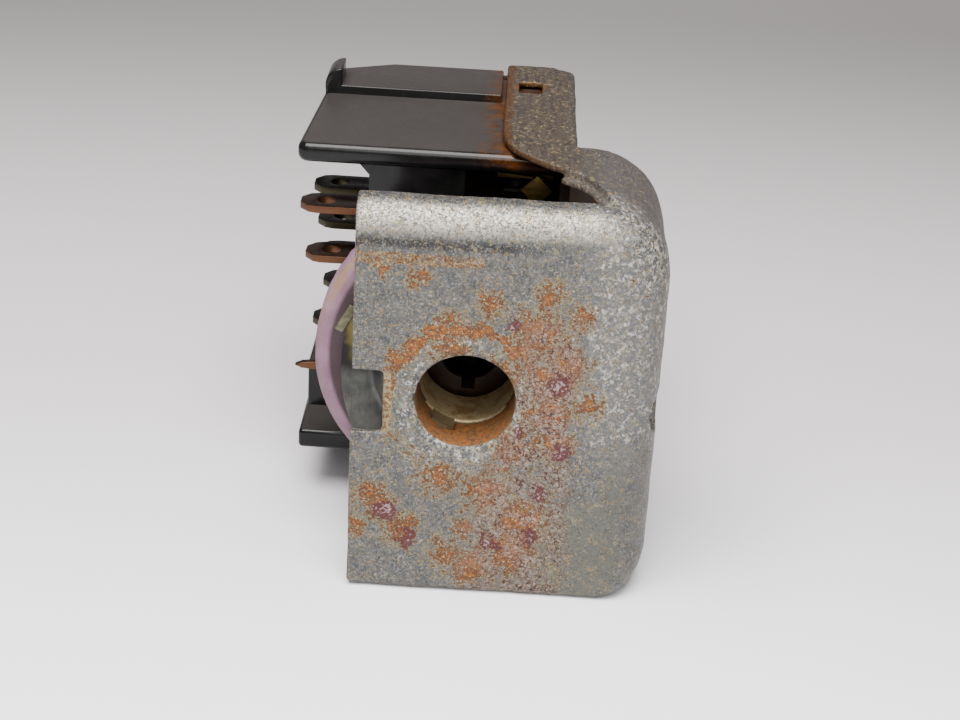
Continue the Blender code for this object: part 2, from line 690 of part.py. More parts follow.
def build_carriage():
    moving = []
    carriage = box("contact_carriage", (-CARRIAGE_HALF, CARRIAGE_FRONT, CARRIAGE_LOW),
                   (CARRIAGE_HALF, CARRIAGE_BACK, CARRIAGE_HIGH), "brown_phenolic")
    cut(carriage, rod("shaft_socket", SHAFT_BORE, CARRIAGE_FRONT - 2, CARRIAGE_BACK + 2, steps=28))
    middle = (CARRIAGE_FRONT + CARRIAGE_BACK) / 2
    latch_y = BUTTON_Y + CARRIAGE_TRAVEL
    cut(carriage, box("latch_pocket", (2.6, latch_y - 2.5, 26.0), (CARRIAGE_HALF + 2, latch_y + 2.5, 36.0)))
    latch = box("shaft_latch", (3.8, latch_y - 2.1, 26.6), (6.2, latch_y + 2.1, 35.4), "spring_steel",
                bevel=0.25)
    cut(latch, box("latch_window", (3, latch_y - 1.2, 28.2), (4.9, latch_y + 1.2, 33.8)))

    spring_start = -11.6
    for name, z in contact_heights().items():
        contact = box(name, (PAD_X + PAD_THICK + GAP, middle - 4.5, z - 2.2),
                      (spring_start - GAP, middle + 4.5, z + 2.2), "copper", bevel=0.25)
        cut(carriage, rod(name + "_pocket", 2.5, -CARRIAGE_HALF - 2, -CARRIAGE_HALF + 3, axis="X",
                          at=(0, middle, z), steps=24))
        spring = coil_spring(name.replace("contact", "contact_spring"), "X", (spring_start, middle, z),
                             -CARRIAGE_HALF + 2.6 - spring_start, 1.8, 0.3, 4)
        moving += [contact, spring]

    detent = (0, middle, 42.4)
    cut(carriage, rod("detent_pocket", 1.9, 2.0, CARRIAGE_HALF + 2, axis="X", at=detent, steps=24))
    moving.append(coil_spring("detent_spring", "X", (2.3, middle, 42.4), 4.6, 1.3, 0.25, 5, per_turn=8))
    moving.append(build_ball("detent_ball", 1.5, (9.0, middle, 42.4)))
    move_about("carriage_axis", (0, CARRIAGE_FRONT, SHAFT_Z), carriage, latch, *moving)
    detent_plate = box("detent_plate", (10.8, 36.0, 39.6), (11.8, 62.0, 45.2), "spring_steel", bevel=0.2)
    for stop in range(3):
        y = middle - stop * CARRIAGE_TRAVEL / 2
        cut(detent_plate, rod(f"detent_dimple_{stop + 1}", 1.0, 10, 13, axis="X", at=(0, y, 42.4), steps=16))


def build_ball(name, radius, spot):
    mesh = bpy.data.meshes.new(name)
    shape = bmesh.new()
    bmesh.ops.create_uvsphere(shape, u_segments=16, v_segments=10, radius=radius * MM)
    shape.to_mesh(mesh)
    shape.free()
    return add_object(name, mesh, "spring_steel", Matrix.Translation(place(*spot)))


# Release button and breaker ----------------------------------------------------------------------------------


def build_button():
    profile = [
        (0, BUTTON_TOP), (BUTTON_HEAD - 0.8, BUTTON_TOP), (BUTTON_HEAD, BUTTON_TOP - 0.8),
        (BUTTON_HEAD, BUTTON_TOP - 2.4), (BUTTON_STEM, BUTTON_TOP - 2.4), (BUTTON_STEM, BUTTON_TIP),
        (0, BUTTON_TIP),
    ]
    spot = (0, BUTTON_Y, SHAFT_Z)
    button = turned("release_button", profile, "brown_phenolic", "X", spot, 28, closed=False)
    cut(button, ring("clip_groove", BUTTON_STEM - 0.5, BUTTON_STEM + 1, 11.0, 11.7, axis="X", at=spot,
                     steps=24))
    clip = ring("button_clip", BUTTON_STEM - 0.2, 3.1, 11.15, 11.55, "spring_steel", "X", spot, 24)
    cut(clip, box("clip_mouth", (10, BUTTON_Y - 0.8, SHAFT_Z - 5), (13, BUTTON_Y + 0.8, SHAFT_Z)))
    move_about("button_axis", (BUTTON_TIP, BUTTON_Y, SHAFT_Z), button, clip)
    start = 13.6 + GAP
    coil_spring("button_spring", "X", (start, BUTTON_Y, SHAFT_Z), BUTTON_TOP - 2.4 - GAP - start, 2.7, 0.3, 5)


def build_breaker():
    """The thermal breaker under the housing's top: a strip that carries one contact away from the other."""
    bracket = box("breaker_bracket", (2.5, 31.0, 54.5), (10.5, 44.0, 55.3), "brass")
    lug = box("bracket_lug", (-1.7, -0.5, -1.7), (1.7, 0.5, 1.7))
    lug.matrix_world = Matrix.Translation(place(8.6, 30.6, 52.9)) @ Matrix.Rotation(math.radians(45), 4, "Y")
    join(bracket, lug)
    arm = box("breaker_arm", (3.6, ARM_TIP_Y, ARM_Z), (9.4, ARM_ROOT_Y, ARM_Z + ARM_THICK), "silver")
    contact = rod("breaker_contact_moving", 1.2, ARM_Z + ARM_THICK + 0.1, 53.2, "silver", axis="Z",
                  at=(5.4, 34.4, 0), steps=16)
    move_about("breaker_axis", (6.5, ARM_ROOT_Y, ARM_Z), arm, contact)
    rod("breaker_contact_fixed", 1.2, 53.4, 54.3, "silver", axis="Z", at=(5.4, 34.4, 0), steps=16)
    box("breaker_post", (3.6, ARM_ROOT_Y + GAP, 50.6), (9.4, ARM_ROOT_Y + 3, 55.3), "brass", bevel=0.2)


clear_scene()
make_collections()
build_frame()
build_collar()
build_cup()
build_disc()
build_coil()
build_coil_ends()
build_rotor()
build_housing()
build_boards()
for row in blade_rows():
    build_blade(*row)
build_dome_contact()
build_carriage()
build_button()
build_breaker()
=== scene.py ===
"""The finished look of the pull-out lighting switch: worn sheet metal, moulded parts and tarnished blades.

Shapes are given in millimetres in the switch's own frame, as on its drawing: x = 0 on the shaft axis,
y = 0 on the front plate, z = 0 on the standing surface. place() turns them into the row frame with the
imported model's boxes.
"""

import json
import math

import bmesh
import bpy
from mathutils import Matrix, Vector, noise


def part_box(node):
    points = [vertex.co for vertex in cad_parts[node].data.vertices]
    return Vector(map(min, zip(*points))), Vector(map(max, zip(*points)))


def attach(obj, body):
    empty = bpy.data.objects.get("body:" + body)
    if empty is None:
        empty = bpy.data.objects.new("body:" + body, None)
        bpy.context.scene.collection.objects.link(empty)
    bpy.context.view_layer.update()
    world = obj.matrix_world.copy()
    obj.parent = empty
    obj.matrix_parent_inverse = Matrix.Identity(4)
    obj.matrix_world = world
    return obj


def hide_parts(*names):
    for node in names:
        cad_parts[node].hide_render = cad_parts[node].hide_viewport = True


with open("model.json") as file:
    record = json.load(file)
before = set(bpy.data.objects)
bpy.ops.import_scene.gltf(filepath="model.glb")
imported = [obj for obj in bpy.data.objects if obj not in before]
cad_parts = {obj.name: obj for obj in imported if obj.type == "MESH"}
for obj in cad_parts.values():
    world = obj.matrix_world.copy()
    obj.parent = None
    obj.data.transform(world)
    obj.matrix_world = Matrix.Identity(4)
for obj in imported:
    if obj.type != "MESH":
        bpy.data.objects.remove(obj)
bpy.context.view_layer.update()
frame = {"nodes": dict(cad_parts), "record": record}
# noise_vector starts from the clock unless it is seeded, and the torn edges would differ in each run
noise.seed_set(1)

MM = 0.001
COLLAR_LOW, COLLAR_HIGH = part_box("bezel_collar")
FRAME_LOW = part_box("frame")[0]
ORIGIN = Vector(((COLLAR_LOW.x + COLLAR_HIGH.x) / 2, FRAME_LOW.y, FRAME_LOW.z))


def place(x, y, z):
    """A point of the switch's own frame, in metres of the row frame."""
    return ORIGIN + Vector((x, y, z)) * MM


def own(node):
    """A node's lowest and highest corners in the switch's own frame, in millimetres."""
    low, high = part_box(node)
    return (low - ORIGIN) / MM, (high - ORIGIN) / MM


SHAFT_Z = ((COLLAR_LOW + COLLAR_HIGH) / 2 - ORIGIN).z / MM
PLATE_LEFT = own("frame")[0].x
PLATE_RIGHT = own("frame")[1].x
PLATE_HEIGHT = own("frame")[1].z
STRAP_END = own("frame")[1].y
SHEET = 1.2
SIDE_DEPTH = 30.0
STRAP_LEFT, STRAP_RIGHT = 3.0, 14.3
BEND_RIGHT, BEND_TOP, BEND_BOTTOM = 7.2, 5.0, 1.4
CORNER_TOP, CORNER_BOTTOM = 11.6, 7.4
BORE = 7.15
COLLAR_OUTER = 8.6
COLLAR_END = own("bezel_collar")[1].y
KEY_ANGLE = math.radians(-117)
KEY_WIDTH, KEY_DEPTH = 4.1, 3.0


# Meshes

def mesh_object(name, shape):
    mesh = bpy.data.meshes.new(name)
    shape.to_mesh(mesh)
    shape.free()
    made = bpy.data.objects.new(name, mesh)
    bpy.context.scene.collection.objects.link(made)
    return made


def box(name, low, high):
    shape = bmesh.new()
    bmesh.ops.create_cube(shape, size=1.0)
    size = [(b - a) * MM for a, b in zip(low, high)]
    bmesh.ops.scale(shape, vec=size, verts=shape.verts)
    bmesh.ops.translate(shape, vec=place(*[(a + b) / 2 for a, b in zip(low, high)]), verts=shape.verts)
    return mesh_object(name, shape)


def lathe(name, profile, axis="Y", at=(0, 0, SHAFT_Z), steps=96, closed=True):
    """A turned shape. profile holds (radius, along) points; a radius of 0 closes the end."""
    shape = bmesh.new()
    rings = []
    for radius, along in profile:
        if radius < 1e-6:
            spot = turned_point(axis, at, 0, along, 0)
            rings.append([shape.verts.new(spot)])
            continue
        angles = [2 * math.pi * step / steps for step in range(steps)]
        rings.append([shape.verts.new(turned_point(axis, at, radius, along, angle)) for angle in angles])
    pairs = list(zip(rings, rings[1:]))
    if closed:
        pairs.append((rings[-1], rings[0]))
    for first, second in pairs:
        bridge(shape, first, second, steps)
    bmesh.ops.recalc_face_normals(shape, faces=shape.faces)
    return mesh_object(name, shape)


def rod(name, radius, start, end, axis="Y", at=(0, 0, SHAFT_Z), steps=96):
    return lathe(name, [(0, start), (radius, start), (radius, end), (0, end)], axis, at, steps, closed=False)


def turned_point(axis, at, radius, along, angle):
    a, b = radius * math.cos(angle), radius * math.sin(angle)
    x, y, z = at
    if axis == "X":
        return place(x + along, y + a, z + b)
    if axis == "Y":
        return place(x + a, y + along, z + b)
    return place(x + a, y + b, z + along)


def bridge(shape, first, second, steps):
    for step in range(steps):
        after = (step + 1) % steps
        if len(first) == 1 and len(second) == 1:
            return
        if len(first) == 1:
            shape.faces.new((first[0], second[step], second[after]))
        elif len(second) == 1:
            shape.faces.new((first[after], first[step], second[0]))
        else:
            shape.faces.new((first[after], first[step], second[step], second[after]))


def prism(name, outline, plane, low, high):
    """A flat outline with a thickness; plane is XY, XZ or YZ."""
    shape = bmesh.new()
    ends = []
    for level in (low, high):
        row = []
        for a, b in outline:
            spot = {"XY": (a, b, level), "XZ": (a, level, b), "YZ": (level, a, b)}[plane]
            row.append(shape.verts.new(place(*spot)))
        ends.append(row)
    shape.faces.new(ends[0])
    shape.faces.new(ends[1])
    count = len(outline)
    for i in range(count):
        j = (i + 1) % count
        shape.faces.new((ends[0][i], ends[0][j], ends[1][j], ends[1][i]))
    bmesh.ops.recalc_face_normals(shape, faces=shape.faces)
    return mesh_object(name, shape)


def tube(name, points, radius, resolution=3):
    """A round wire along points of the switch's own frame."""
    curve = bpy.data.curves.new(name, "CURVE")
    curve.dimensions = "3D"
    curve.bevel_depth = radius * MM
    curve.bevel_resolution = resolution
    curve.use_fill_caps = True
    spline = curve.splines.new("POLY")
    spline.points.add(len(points) - 1)
    for point, spot in zip(spline.points, points):
        point.co = (*place(*spot), 1)
    made = bpy.data.objects.new(name, curve)
    bpy.context.scene.collection.objects.link(made)
    return made


def boolean(target, tool, operation):
    modifier = target.modifiers.new("Boolean", "BOOLEAN")
    modifier.operation = operation
    modifier.object = tool
    modifier.solver = "EXACT"
    settle(target)
    bpy.data.objects.remove(tool, do_unlink=True)


def cut(target, *tools):
    for tool in tools:
        boolean(target, tool, "DIFFERENCE")


def join(target, *tools):
    for tool in tools:
        boolean(target, tool, "UNION")


def settle(target):
    """Applies a mesh object's modifiers."""
    bpy.context.view_layer.update()
    graph = bpy.context.evaluated_depsgraph_get()
    mesh = bpy.data.meshes.new_from_object(target.evaluated_get(graph))
    target.modifiers.clear()
    old = target.data
    target.data = mesh
    bpy.data.meshes.remove(old)


def soften(target, width, segments=3, angle=35):
    """Rounds the edges, and shades the flat faces flat."""
    modifier = target.modifiers.new("Bevel", "BEVEL")
    modifier.width = width * MM
    modifier.segments = segments
    modifier.limit_method = "ANGLE"
    modifier.angle_limit = math.radians(angle)
    modifier.use_clamp_overlap = True
    modifier.harden_normals = False
    settle(target)
    smooth(target)


def smooth(target, angle=32):
    target.data.shade_smooth()
    target.data.set_sharp_from_angle(angle=math.radians(angle))


def knead(target, amount, size, seed=0.0):
    """Moves the points along their normals by a smooth random field, in millimetres."""
    shape = bmesh.new()
    shape.from_mesh(target.data)
    shape.normal_update()
    offset = Vector((seed, seed * 1.7, -seed))
    for vert in shape.verts:
        field = noise.noise((vert.co / (size * MM)) + offset)
        vert.co += vert.normal * field * amount * MM
    shape.to_mesh(target.data)
    shape.free()


def voxel(target, size):
    """Turns a solid into an even net of small faces, which rounds its edges a little."""
    modifier = target.modifiers.new("Remesh", "REMESH")
    modifier.mode = "VOXEL"
    modifier.voxel_size = size * MM
    modifier.use_smooth_shade = True
    settle(target)


def relax(target, rounds=2, factor=0.5):
    modifier = target.modifiers.new("Smooth", "SMOOTH")
    modifier.factor = factor
    modifier.iterations = rounds
    settle(target)


def arc(centre, radius, start, end, steps):
    points = []
    for step in range(steps + 1):
        angle = math.radians(start + (end - start) * step / steps)
        points.append((centre[0] + radius * math.cos(angle), centre[1] + radius * math.sin(angle)))
    return points


def turn_about_shaft(target, angle):
    axis = Matrix.Translation(place(0, 0, SHAFT_Z))
    target.data.transform(axis @ Matrix.Rotation(-angle, 4, "Y") @ axis.inverted())


def tilt_at(piece, spot, degrees):
    """Turn a piece made about the frame's origin by an angle about Y, and move it to spot."""
    piece.data.transform(Matrix.Translation(-place(0, 0, 0)))
    turn = Matrix.Rotation(math.radians(degrees), 4, "Y")
    piece.data.transform(Matrix.Translation(place(*spot)) @ turn)


def finish_piece(piece, body, slot, material, *nodes):
    piece.data.materials.clear()
    piece.data.materials.append(material)
    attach(piece, body)
    if nodes:
        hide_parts(*nodes)
    return piece


# Node materials

class Value:
    """What comes out of a material node; a number one can be multiplied, added and subtracted."""

    def __init__(self, paint, socket):
        self.paint = paint
        self.socket = socket

    def __mul__(self, other):
        return self.paint.math("MULTIPLY", self, other)

    def __add__(self, other):
        return self.paint.math("ADD", self, other)

    def __sub__(self, other):
        return self.paint.math("SUBTRACT", self, other)


class Paint:
    """A short way to write a node material."""

    def __init__(self, name):
        self.material = bpy.data.materials.new(name)
        self.material.use_nodes = True
        self.tree = self.material.node_tree
        self.shader = self.tree.nodes["Principled BSDF"]
        coordinates = self.fill("ShaderNodeTexCoord", "Object", {})
        # the point in millimetres of the switch's own frame
        self.spot = self.scaled(self.vector("SUBTRACT", coordinates, tuple(ORIGIN)), 1 / MM)

    def node(self, kind, **settings):
        made = self.tree.nodes.new(kind)
        for key, value in settings.items():
            setattr(made, key, value)
        return made

    def result(self, node, name=0):
        return Value(self, node.outputs[name])

    def put(self, value, target):
        """Feed a node's input with another node's output, a number, a vector or a colour."""
        if isinstance(value, Value):
            self.tree.links.new(value.socket, target)
        elif isinstance(value, tuple) and target.type == "RGBA":
            target.default_value = (*value, 1.0)
        else:
            target.default_value = value

    def vector(self, operation, a, b):
        output = "Value" if operation in ("LENGTH", "DISTANCE") else "Vector"
        return self.fill("ShaderNodeVectorMath", output, {0: a, 1: b}, operation=operation)

    def scaled(self, vector, factor):
        return self.fill("ShaderNodeVectorMath", 0, {0: vector, "Scale": factor}, operation="SCALE")

    def fill(self, kind, output, inputs, **settings):
        """A node with its inputs filled, and one of its outputs."""
        made = self.node(kind, **settings)
        for key, value in inputs.items():
            self.put(value, made.inputs[key])
        return self.result(made, output)

    def noise(self, scale, detail=3.0, roughness=0.55, distortion=0.0, where=None, shift=0.0, output="Fac"):
        """Fractal noise whose features are about 1 / scale millimetres wide."""
        inputs = {"Vector": where or self.spot, "Scale": scale, "Detail": detail, "Roughness": roughness,
                  "Distortion": distortion, "W": shift}
        return self.fill("ShaderNodeTexNoise", output, inputs, noise_dimensions="4D")

    def cells(self, scale, feature="F1", where=None):
        inputs = {"Vector": where or self.spot, "Scale": scale}
        return self.fill("ShaderNodeTexVoronoi", "Distance", inputs, feature=feature)

    def math(self, operation, a, b=0.0, clamp=False):
        return self.fill("ShaderNodeMath", 0, {0: a, 1: b}, operation=operation, use_clamp=clamp)

    def most(self, a, b):
        return self.math("MAXIMUM", a, b)

    def span(self, value, low, high, out_low=0.0, out_high=1.0, smooth_step=True):
        """value from low..high to out_low..out_high, clamped."""
        inputs = {"Value": value, "From Min": low, "From Max": high, "To Min": out_low, "To Max": out_high}
        easing = "SMOOTHSTEP" if smooth_step else "LINEAR"
        return self.fill("ShaderNodeMapRange", "Result", inputs, interpolation_type=easing)

    def mix(self, share, first, second):
        """The first colour where share is 0, the second where it is 1."""
        return self.fill("ShaderNodeMix", 2, {0: share, 6: first, 7: second}, data_type="RGBA")

    def axis(self, name, vector=None):
        return self.fill("ShaderNodeSeparateXYZ", name, {0: vector or self.spot})

    def facing_up(self):
        """How far the surface faces up, from -1 to 1."""
        return self.axis("Z", self.fill("ShaderNodeNewGeometry", "Normal", {}))

    def stretched(self, x, y, z):
        """The point with its axes scaled, for streaks."""
        return self.vector("MULTIPLY", self.spot, (x, y, z))

    def near(self, spot, radius, squash=(1, 1, 1), where=None):
        """1 at a spot, falling to 0 at radius."""
        offset = self.vector("SUBTRACT", where or self.spot, spot)
        distance = self.vector("LENGTH", self.vector("MULTIPLY", offset, squash), (0, 0, 0))
        return self.span(distance, 0.0, radius, 1.0, 0.0, smooth_step=False)

    def warped(self, scale, amount, shift=0.0):
        """The point moved about by noise, so that edges wander."""
        field = self.noise(scale, roughness=0.5, shift=shift, output="Color")
        centred = self.vector("SUBTRACT", field, (0.5, 0.5, 0.5))
        return self.vector("ADD", self.spot, self.scaled(centred, amount))

    def set(self, **values):
        names = {"colour": "Base Color", "rough": "Roughness", "metal": "Metallic",
                 "specular": "Specular IOR Level"}
        for key, value in values.items():
            self.put(value, self.shader.inputs[names[key]])

    def bump(self, height, strength=0.4, distance=0.1):
        """Fine relief, distance in millimetres."""
        inputs = {"Strength": strength, "Distance": distance * MM, "Height": height}
        self.put(self.fill("ShaderNodeBump", "Normal", inputs), self.shader.inputs["Normal"])


LIGHT_GAIN, LIGHT_POWER = 0.38, 2.6


def tone(red, green, blue, gain=1.0):
    """The surface colour that shows as this tone, 0 to 255 a channel, under the studio's bright light."""
    return tuple(gain * LIGHT_GAIN * (channel / 255) ** LIGHT_POWER for channel in (red, green, blue))


# Rust blooms on the front plate: x, z, radius
RUST_BLOOMS = (
    (-12.6, 50.6, 2.0), (-7.4, 50.2, 2.4), (2.6, 46.5, 3.6), (-2.6, 43.6, 3.0), (11.4, 48.4, 3.2),
    (9.6, 42.8, 5.2), (-2.6, 39.6, 4.5), (14.5, 37.4, 4.8), (-10.6, 37.2, 2.2), (5.2, 35.8, 4.2),
    (12.0, 30.6, 5.0), (13.6, 25.4, 3.4), (6.8, 24.4, 3.6), (-3.4, 18.9, 4.4), (3.0, 17.4, 5.0),
    (9.0, 12.4, 5.4),
    (-12.4, 14.6, 4.4), (-8.4, 10.4, 4.2), (0.5, 11.0, 2.6), (7.6, 7.8, 5.4), (-2.0, 6.6, 4.0),
    (1.6, 5.0, 4.6), (-15.6, 10.4, 2.6), (15.6, 45.0, 3.0), (17.4, 31.6, 3.2),
)
# Dark red crusts with a pale middle: x, z, radius
RED_CRUSTS = (
    (-10.8, 13.0, 2.7), (-7.4, 9.0, 2.6), (6.2, 44.0, 1.7), (14.4, 23.8, 2.0), (10.4, 10.2, 2.4),
    (4.6, 8.6, 2.2), (13.4, 34.6, 2.4), (8.2, 27.2, 1.6), (11.6, 17.0, 2.2),
)


def frame_paint():
    """Weathered galvanised sheet: mottled zinc, white bloom, orange rust, scratches, smooth patches, and a
    painted highlight and painted shadow along the top bend.
    """
    paint = Paint("weathered_zinc")
    x, y, z = paint.axis("X"), paint.axis("Y"), paint.axis("Z")
    mottled = paint.noise(0.5, 5.0, 0.62)
    grain = paint.noise(4.2, 3.0, 0.7, shift=2.0)
    fine = paint.noise(12.0, 2.0, 0.7, shift=5.0)
    flakes = paint.noise(1.5, 6.0, 0.68, 0.6, shift=7.0)
    wander = paint.warped(0.45, 5.5, shift=4.0)
    flat = paint.vector("MULTIPLY", wander, (1, 0, 1))
    front = paint.span(y, 6.5, 3.0)

    spangle = paint.noise(2.6, 4.0, 0.8, shift=31.0)
    zinc = paint.mix(paint.span(mottled, 0.36, 0.64), tone(122, 126, 129), tone(152, 151, 146))
    zinc = paint.mix(paint.span(spangle, 0.52, 0.62, 0.0, 0.8), zinc, tone(208, 206, 200))
    zinc = paint.mix(paint.span(grain, 0.53, 0.61, 0.0, 0.7), zinc, tone(86, 84, 80))
    # painted highlight: a pale band along the top bend, painted in place of the overhead lamp's glint there
    upper = paint.span(z, 55.4, 57.0) * paint.span(y, 3.4, 1.8)
    upper *= paint.span(spangle, 0.38, 0.56, 0.15, 1.0)
    zinc = paint.mix(upper, zinc, tone(232, 228, 214))
    # painted shadow: a dark grey line under the top bend's highlight, painted in place of the crease's shade
    painted_crease_shadow = paint.span(z, 53.6, 54.4) * paint.span(z, 55.8, 54.9)
    painted_crease_shadow *= paint.span(x, 10.0, 4.0)
    painted_crease_shadow *= front * paint.span(spangle, 0.62, 0.46, 0.2, 0.9)
    zinc = paint.mix(painted_crease_shadow, zinc, tone(78, 78, 80))

    # warm strap and side: brushed, brown-grey, with a violet cast
    back = paint.span(y, 5.0, 13.0)
    streaks = paint.noise(1.0, 4.0, 0.6, where=paint.stretched(1.6, 0.22, 1.6), shift=1.0)
    warm = paint.mix(paint.span(streaks, 0.3, 0.7), tone(106, 97, 95), tone(146, 133, 120))
    warm = paint.mix(paint.span(grain, 0.48, 0.66, 0.0, 0.55), warm, tone(156, 144, 128))
    warm = paint.mix(paint.span(spangle, 0.54, 0.64, 0.0, 0.5), warm, tone(82, 70, 62))
    zinc = paint.mix(back, zinc, warm)

    # the smooth grey-green patches near the lower right corner
    patch = paint.near((17.2, 0, 7.5), 10.0, (1, 0, 0.7), where=flat)
    patch = paint.most(patch, paint.near((22.0, 0, 17.0), 6.0, (1.6, 0, 0.5), where=flat))
    patch = paint.span(patch, 0.26, 0.5, 0.0, 0.85) * front
    greenish = paint.mix(paint.span(grain, 0.3, 0.7), tone(128, 130, 122), tone(155, 157, 146))
    zinc = paint.mix(patch, zinc, greenish)

    # white bloom, thick at the upper right and thin round the hole
    right_edge = paint.span(x, 11.5, 20.5) * paint.span(z, 16.0, 33.0)
    zinc = paint.mix(right_edge * 0.5, zinc, tone(164, 165, 167))
    ring = paint.near((0, 0, SHAFT_Z), 15.0, (1, 0, 1), where=flat)
    hole = ring * front
    bloom_zone = right_edge * 0.10 + hole * 0.22
    bloom = paint.span(flakes + bloom_zone, 0.60, 0.66)
    bloom *= paint.span(y, 14.0, 6.0, 0.05, 0.85)
    bloom *= paint.span(patch, 0.0, 0.8, 1.0, 0.2)
    bloom_tint = paint.mix(paint.span(paint.noise(0.9, 3.0, shift=3.0), 0.4, 0.6), tone(196, 189, 174),
                           tone(236, 232, 226, 1.35))
    bloom_tint = paint.mix(paint.span(fine, 0.48, 0.60, 0.0, 0.8), bloom_tint, tone(138, 128, 114))
    colour = paint.mix(bloom, zinc, bloom_tint)

    # straw stains in small islands
    straw = paint.span(paint.noise(0.62, 5.0, 0.72, 0.5, shift=11.0), 0.595, 0.63, 0.0, 0.8)
    straw *= paint.span(y, 14.0, 7.0, 0.25, 1.0)
    colour = paint.mix(straw, colour, paint.mix(grain, tone(164, 150, 104), tone(224, 212, 172)))

    # rust blooms: wide straw halo, orange body, brown core
    zone = 0.0
    for bloom_x, bloom_z, radius in RUST_BLOOMS:
        zone = paint.most(zone, paint.near((bloom_x, 0, bloom_z), radius, where=flat))
    arcs = paint.span(ring, 0.12, 0.22) * paint.span(ring, 0.36, 0.26)
    arcs *= paint.span(z, SHAFT_Z - 2.0, SHAFT_Z + 7.0, 0.35, 0.95)
    zone = paint.most(zone, arcs) * front
    pitted = paint.noise(1.6, 7.0, 0.74, 0.4, shift=9.0)
    diagonal = x + z * -0.20
    ravaged = paint.span(diagonal, -3.0, 3.0) * paint.span(x, 17.5, 13.5)
    ravaged *= front * paint.span(z, 47.0, 42.0)
    rusting = zone * 0.25 + pitted
    rusting += ravaged * 0.055
    halo = paint.span(rusting, 0.550, 0.600, 0.0, 0.85)
    body = paint.span(rusting, 0.612, 0.626, 0.0, 1.0)
    deep = paint.span(rusting, 0.66, 0.74)
    speckle = paint.noise(3.4, 5.0, 0.75, shift=27.0)
    core = paint.span(speckle, 0.55, 0.58) * body
    halo_tint = paint.mix(paint.span(grain, 0.35, 0.65), tone(170, 140, 82), tone(218, 198, 140))
    colour = paint.mix(halo, colour, halo_tint)
    rust_tint = paint.mix(paint.span(paint.noise(2.2, 4.0, 0.6, shift=14.0), 0.36, 0.64),
                          tone(200, 132, 22), tone(156, 90, 14))
    rust_tint = paint.mix(deep, tone(116, 76, 34), rust_tint)
    colour = paint.mix(body, colour, rust_tint)
    colour = paint.mix(core, colour, tone(62, 36, 20))
    flecks = paint.span(paint.noise(2.9, 5.0, 0.8, shift=33.0), 0.575, 0.60)
    colour = paint.mix(flecks * halo, colour, tone(232, 220, 196, 1.2))

    # ravaged zone: pink-grey crust cracked by fine brown lines
    crazed = paint.cells(1.25, "DISTANCE_TO_EDGE", where=paint.warped(1.6, 1.3, shift=18.0))
    lines = paint.span(crazed, 0.10, 0.05) * paint.span(pitted, 0.44, 0.52)
    crust_zone = ravaged * paint.span(paint.noise(0.5, 4.0, 0.6, shift=23.0), 0.40, 0.56)
    colour = paint.mix(crust_zone * paint.span(speckle, 0.42, 0.54, 0.1, 0.8), colour,
                       paint.mix(paint.span(flakes, 0.4, 0.6), tone(150, 112, 92), tone(214, 196, 186)))
    colour = paint.mix(lines * (crust_zone + 0.16), colour, tone(86, 48, 28))

    # dark red crusts with a pale middle
    crusts = 0.0
    for crust_x, crust_z, radius in RED_CRUSTS:
        crusts = paint.most(crusts, paint.near((crust_x, 0, crust_z), radius, where=flat))
    crusts *= front
    crust_field = crusts * 0.42 + paint.noise(2.3, 6.0, 0.7, shift=21.0)
    crust = paint.span(crust_field, 0.67, 0.69, 0.0, 0.95)
    pale = paint.span(crust_field, 0.84, 0.88, 0.0, 0.75)
    colour = paint.mix(crust, colour, tone(112, 34, 40))
    colour = paint.mix(pale, colour, tone(214, 190, 190))

    # a line of rust under the top bend, and along the strap's left edge
    line = paint.span(z, 50.6, 51.8) * paint.span(z, 54.4, 53.0)
    line = line * paint.span(x, 7.0, 0.0) * front
    line = paint.span(line * pitted, 0.42, 0.47, 0.0, 0.95)
    line_tint = paint.mix(paint.span(grain, 0.45, 0.6), tone(142, 92, 30), tone(214, 196, 160))
    colour = paint.mix(line, colour, line_tint)
    edge = paint.span(x, STRAP_LEFT + 3.4, STRAP_LEFT) * paint.span(y, 24.0, 30.0)
    edge = paint.span(edge * paint.noise(0.6, 5.0, 0.7, shift=6.0), 0.26, 0.42, 0.0, 0.9)
    edge_tint = paint.mix(paint.span(grain, 0.4, 0.6), tone(160, 112, 44), tone(112, 74, 44))
    colour = paint.mix(edge, colour, edge_tint)
    slot_rust = paint.near((7.0, 60.3, PLATE_HEIGHT - 0.9), 4.4, (1, 0.8, 1.6))
    colour = paint.mix(paint.span(slot_rust, 0.3, 0.42, 0.0, 0.9), colour, tone(176, 112, 26))

    # sheared edges are rough brown iron
    inner = paint.span(y, 19.0, 22.0) * paint.span(z, PLATE_HEIGHT - 0.12, PLATE_HEIGHT - 0.4)
    inner *= paint.span(x, 16.0, 13.5)
    sheared = paint.mix(paint.span(fine, 0.4, 0.6), tone(92, 66, 40), tone(150, 116, 74))
    colour = paint.mix(inner * 0.9, colour, sheared)

    # the rusty tab behind the notch
    tab = paint.span(x, -10.2, -10.7) * paint.near((-11.0, 2.0, 30.4), 6.0, (1, 0.6, 1))
    tab_tint = paint.mix(paint.span(pitted, 0.46, 0.56), tone(206, 188, 146), tone(142, 92, 30))
    colour = paint.mix(paint.span(tab, 0.1, 0.3), colour, tab_tint)

    # scratches
    scratch_cells = paint.cells(0.5, "DISTANCE_TO_EDGE", where=paint.warped(0.8, 2.4, shift=8.0))
    scratch = paint.span(scratch_cells, 0.022, 0.010) * paint.span(flakes, 0.50, 0.56)
    colour = paint.mix(scratch * 0.7, colour, tone(70, 58, 54))

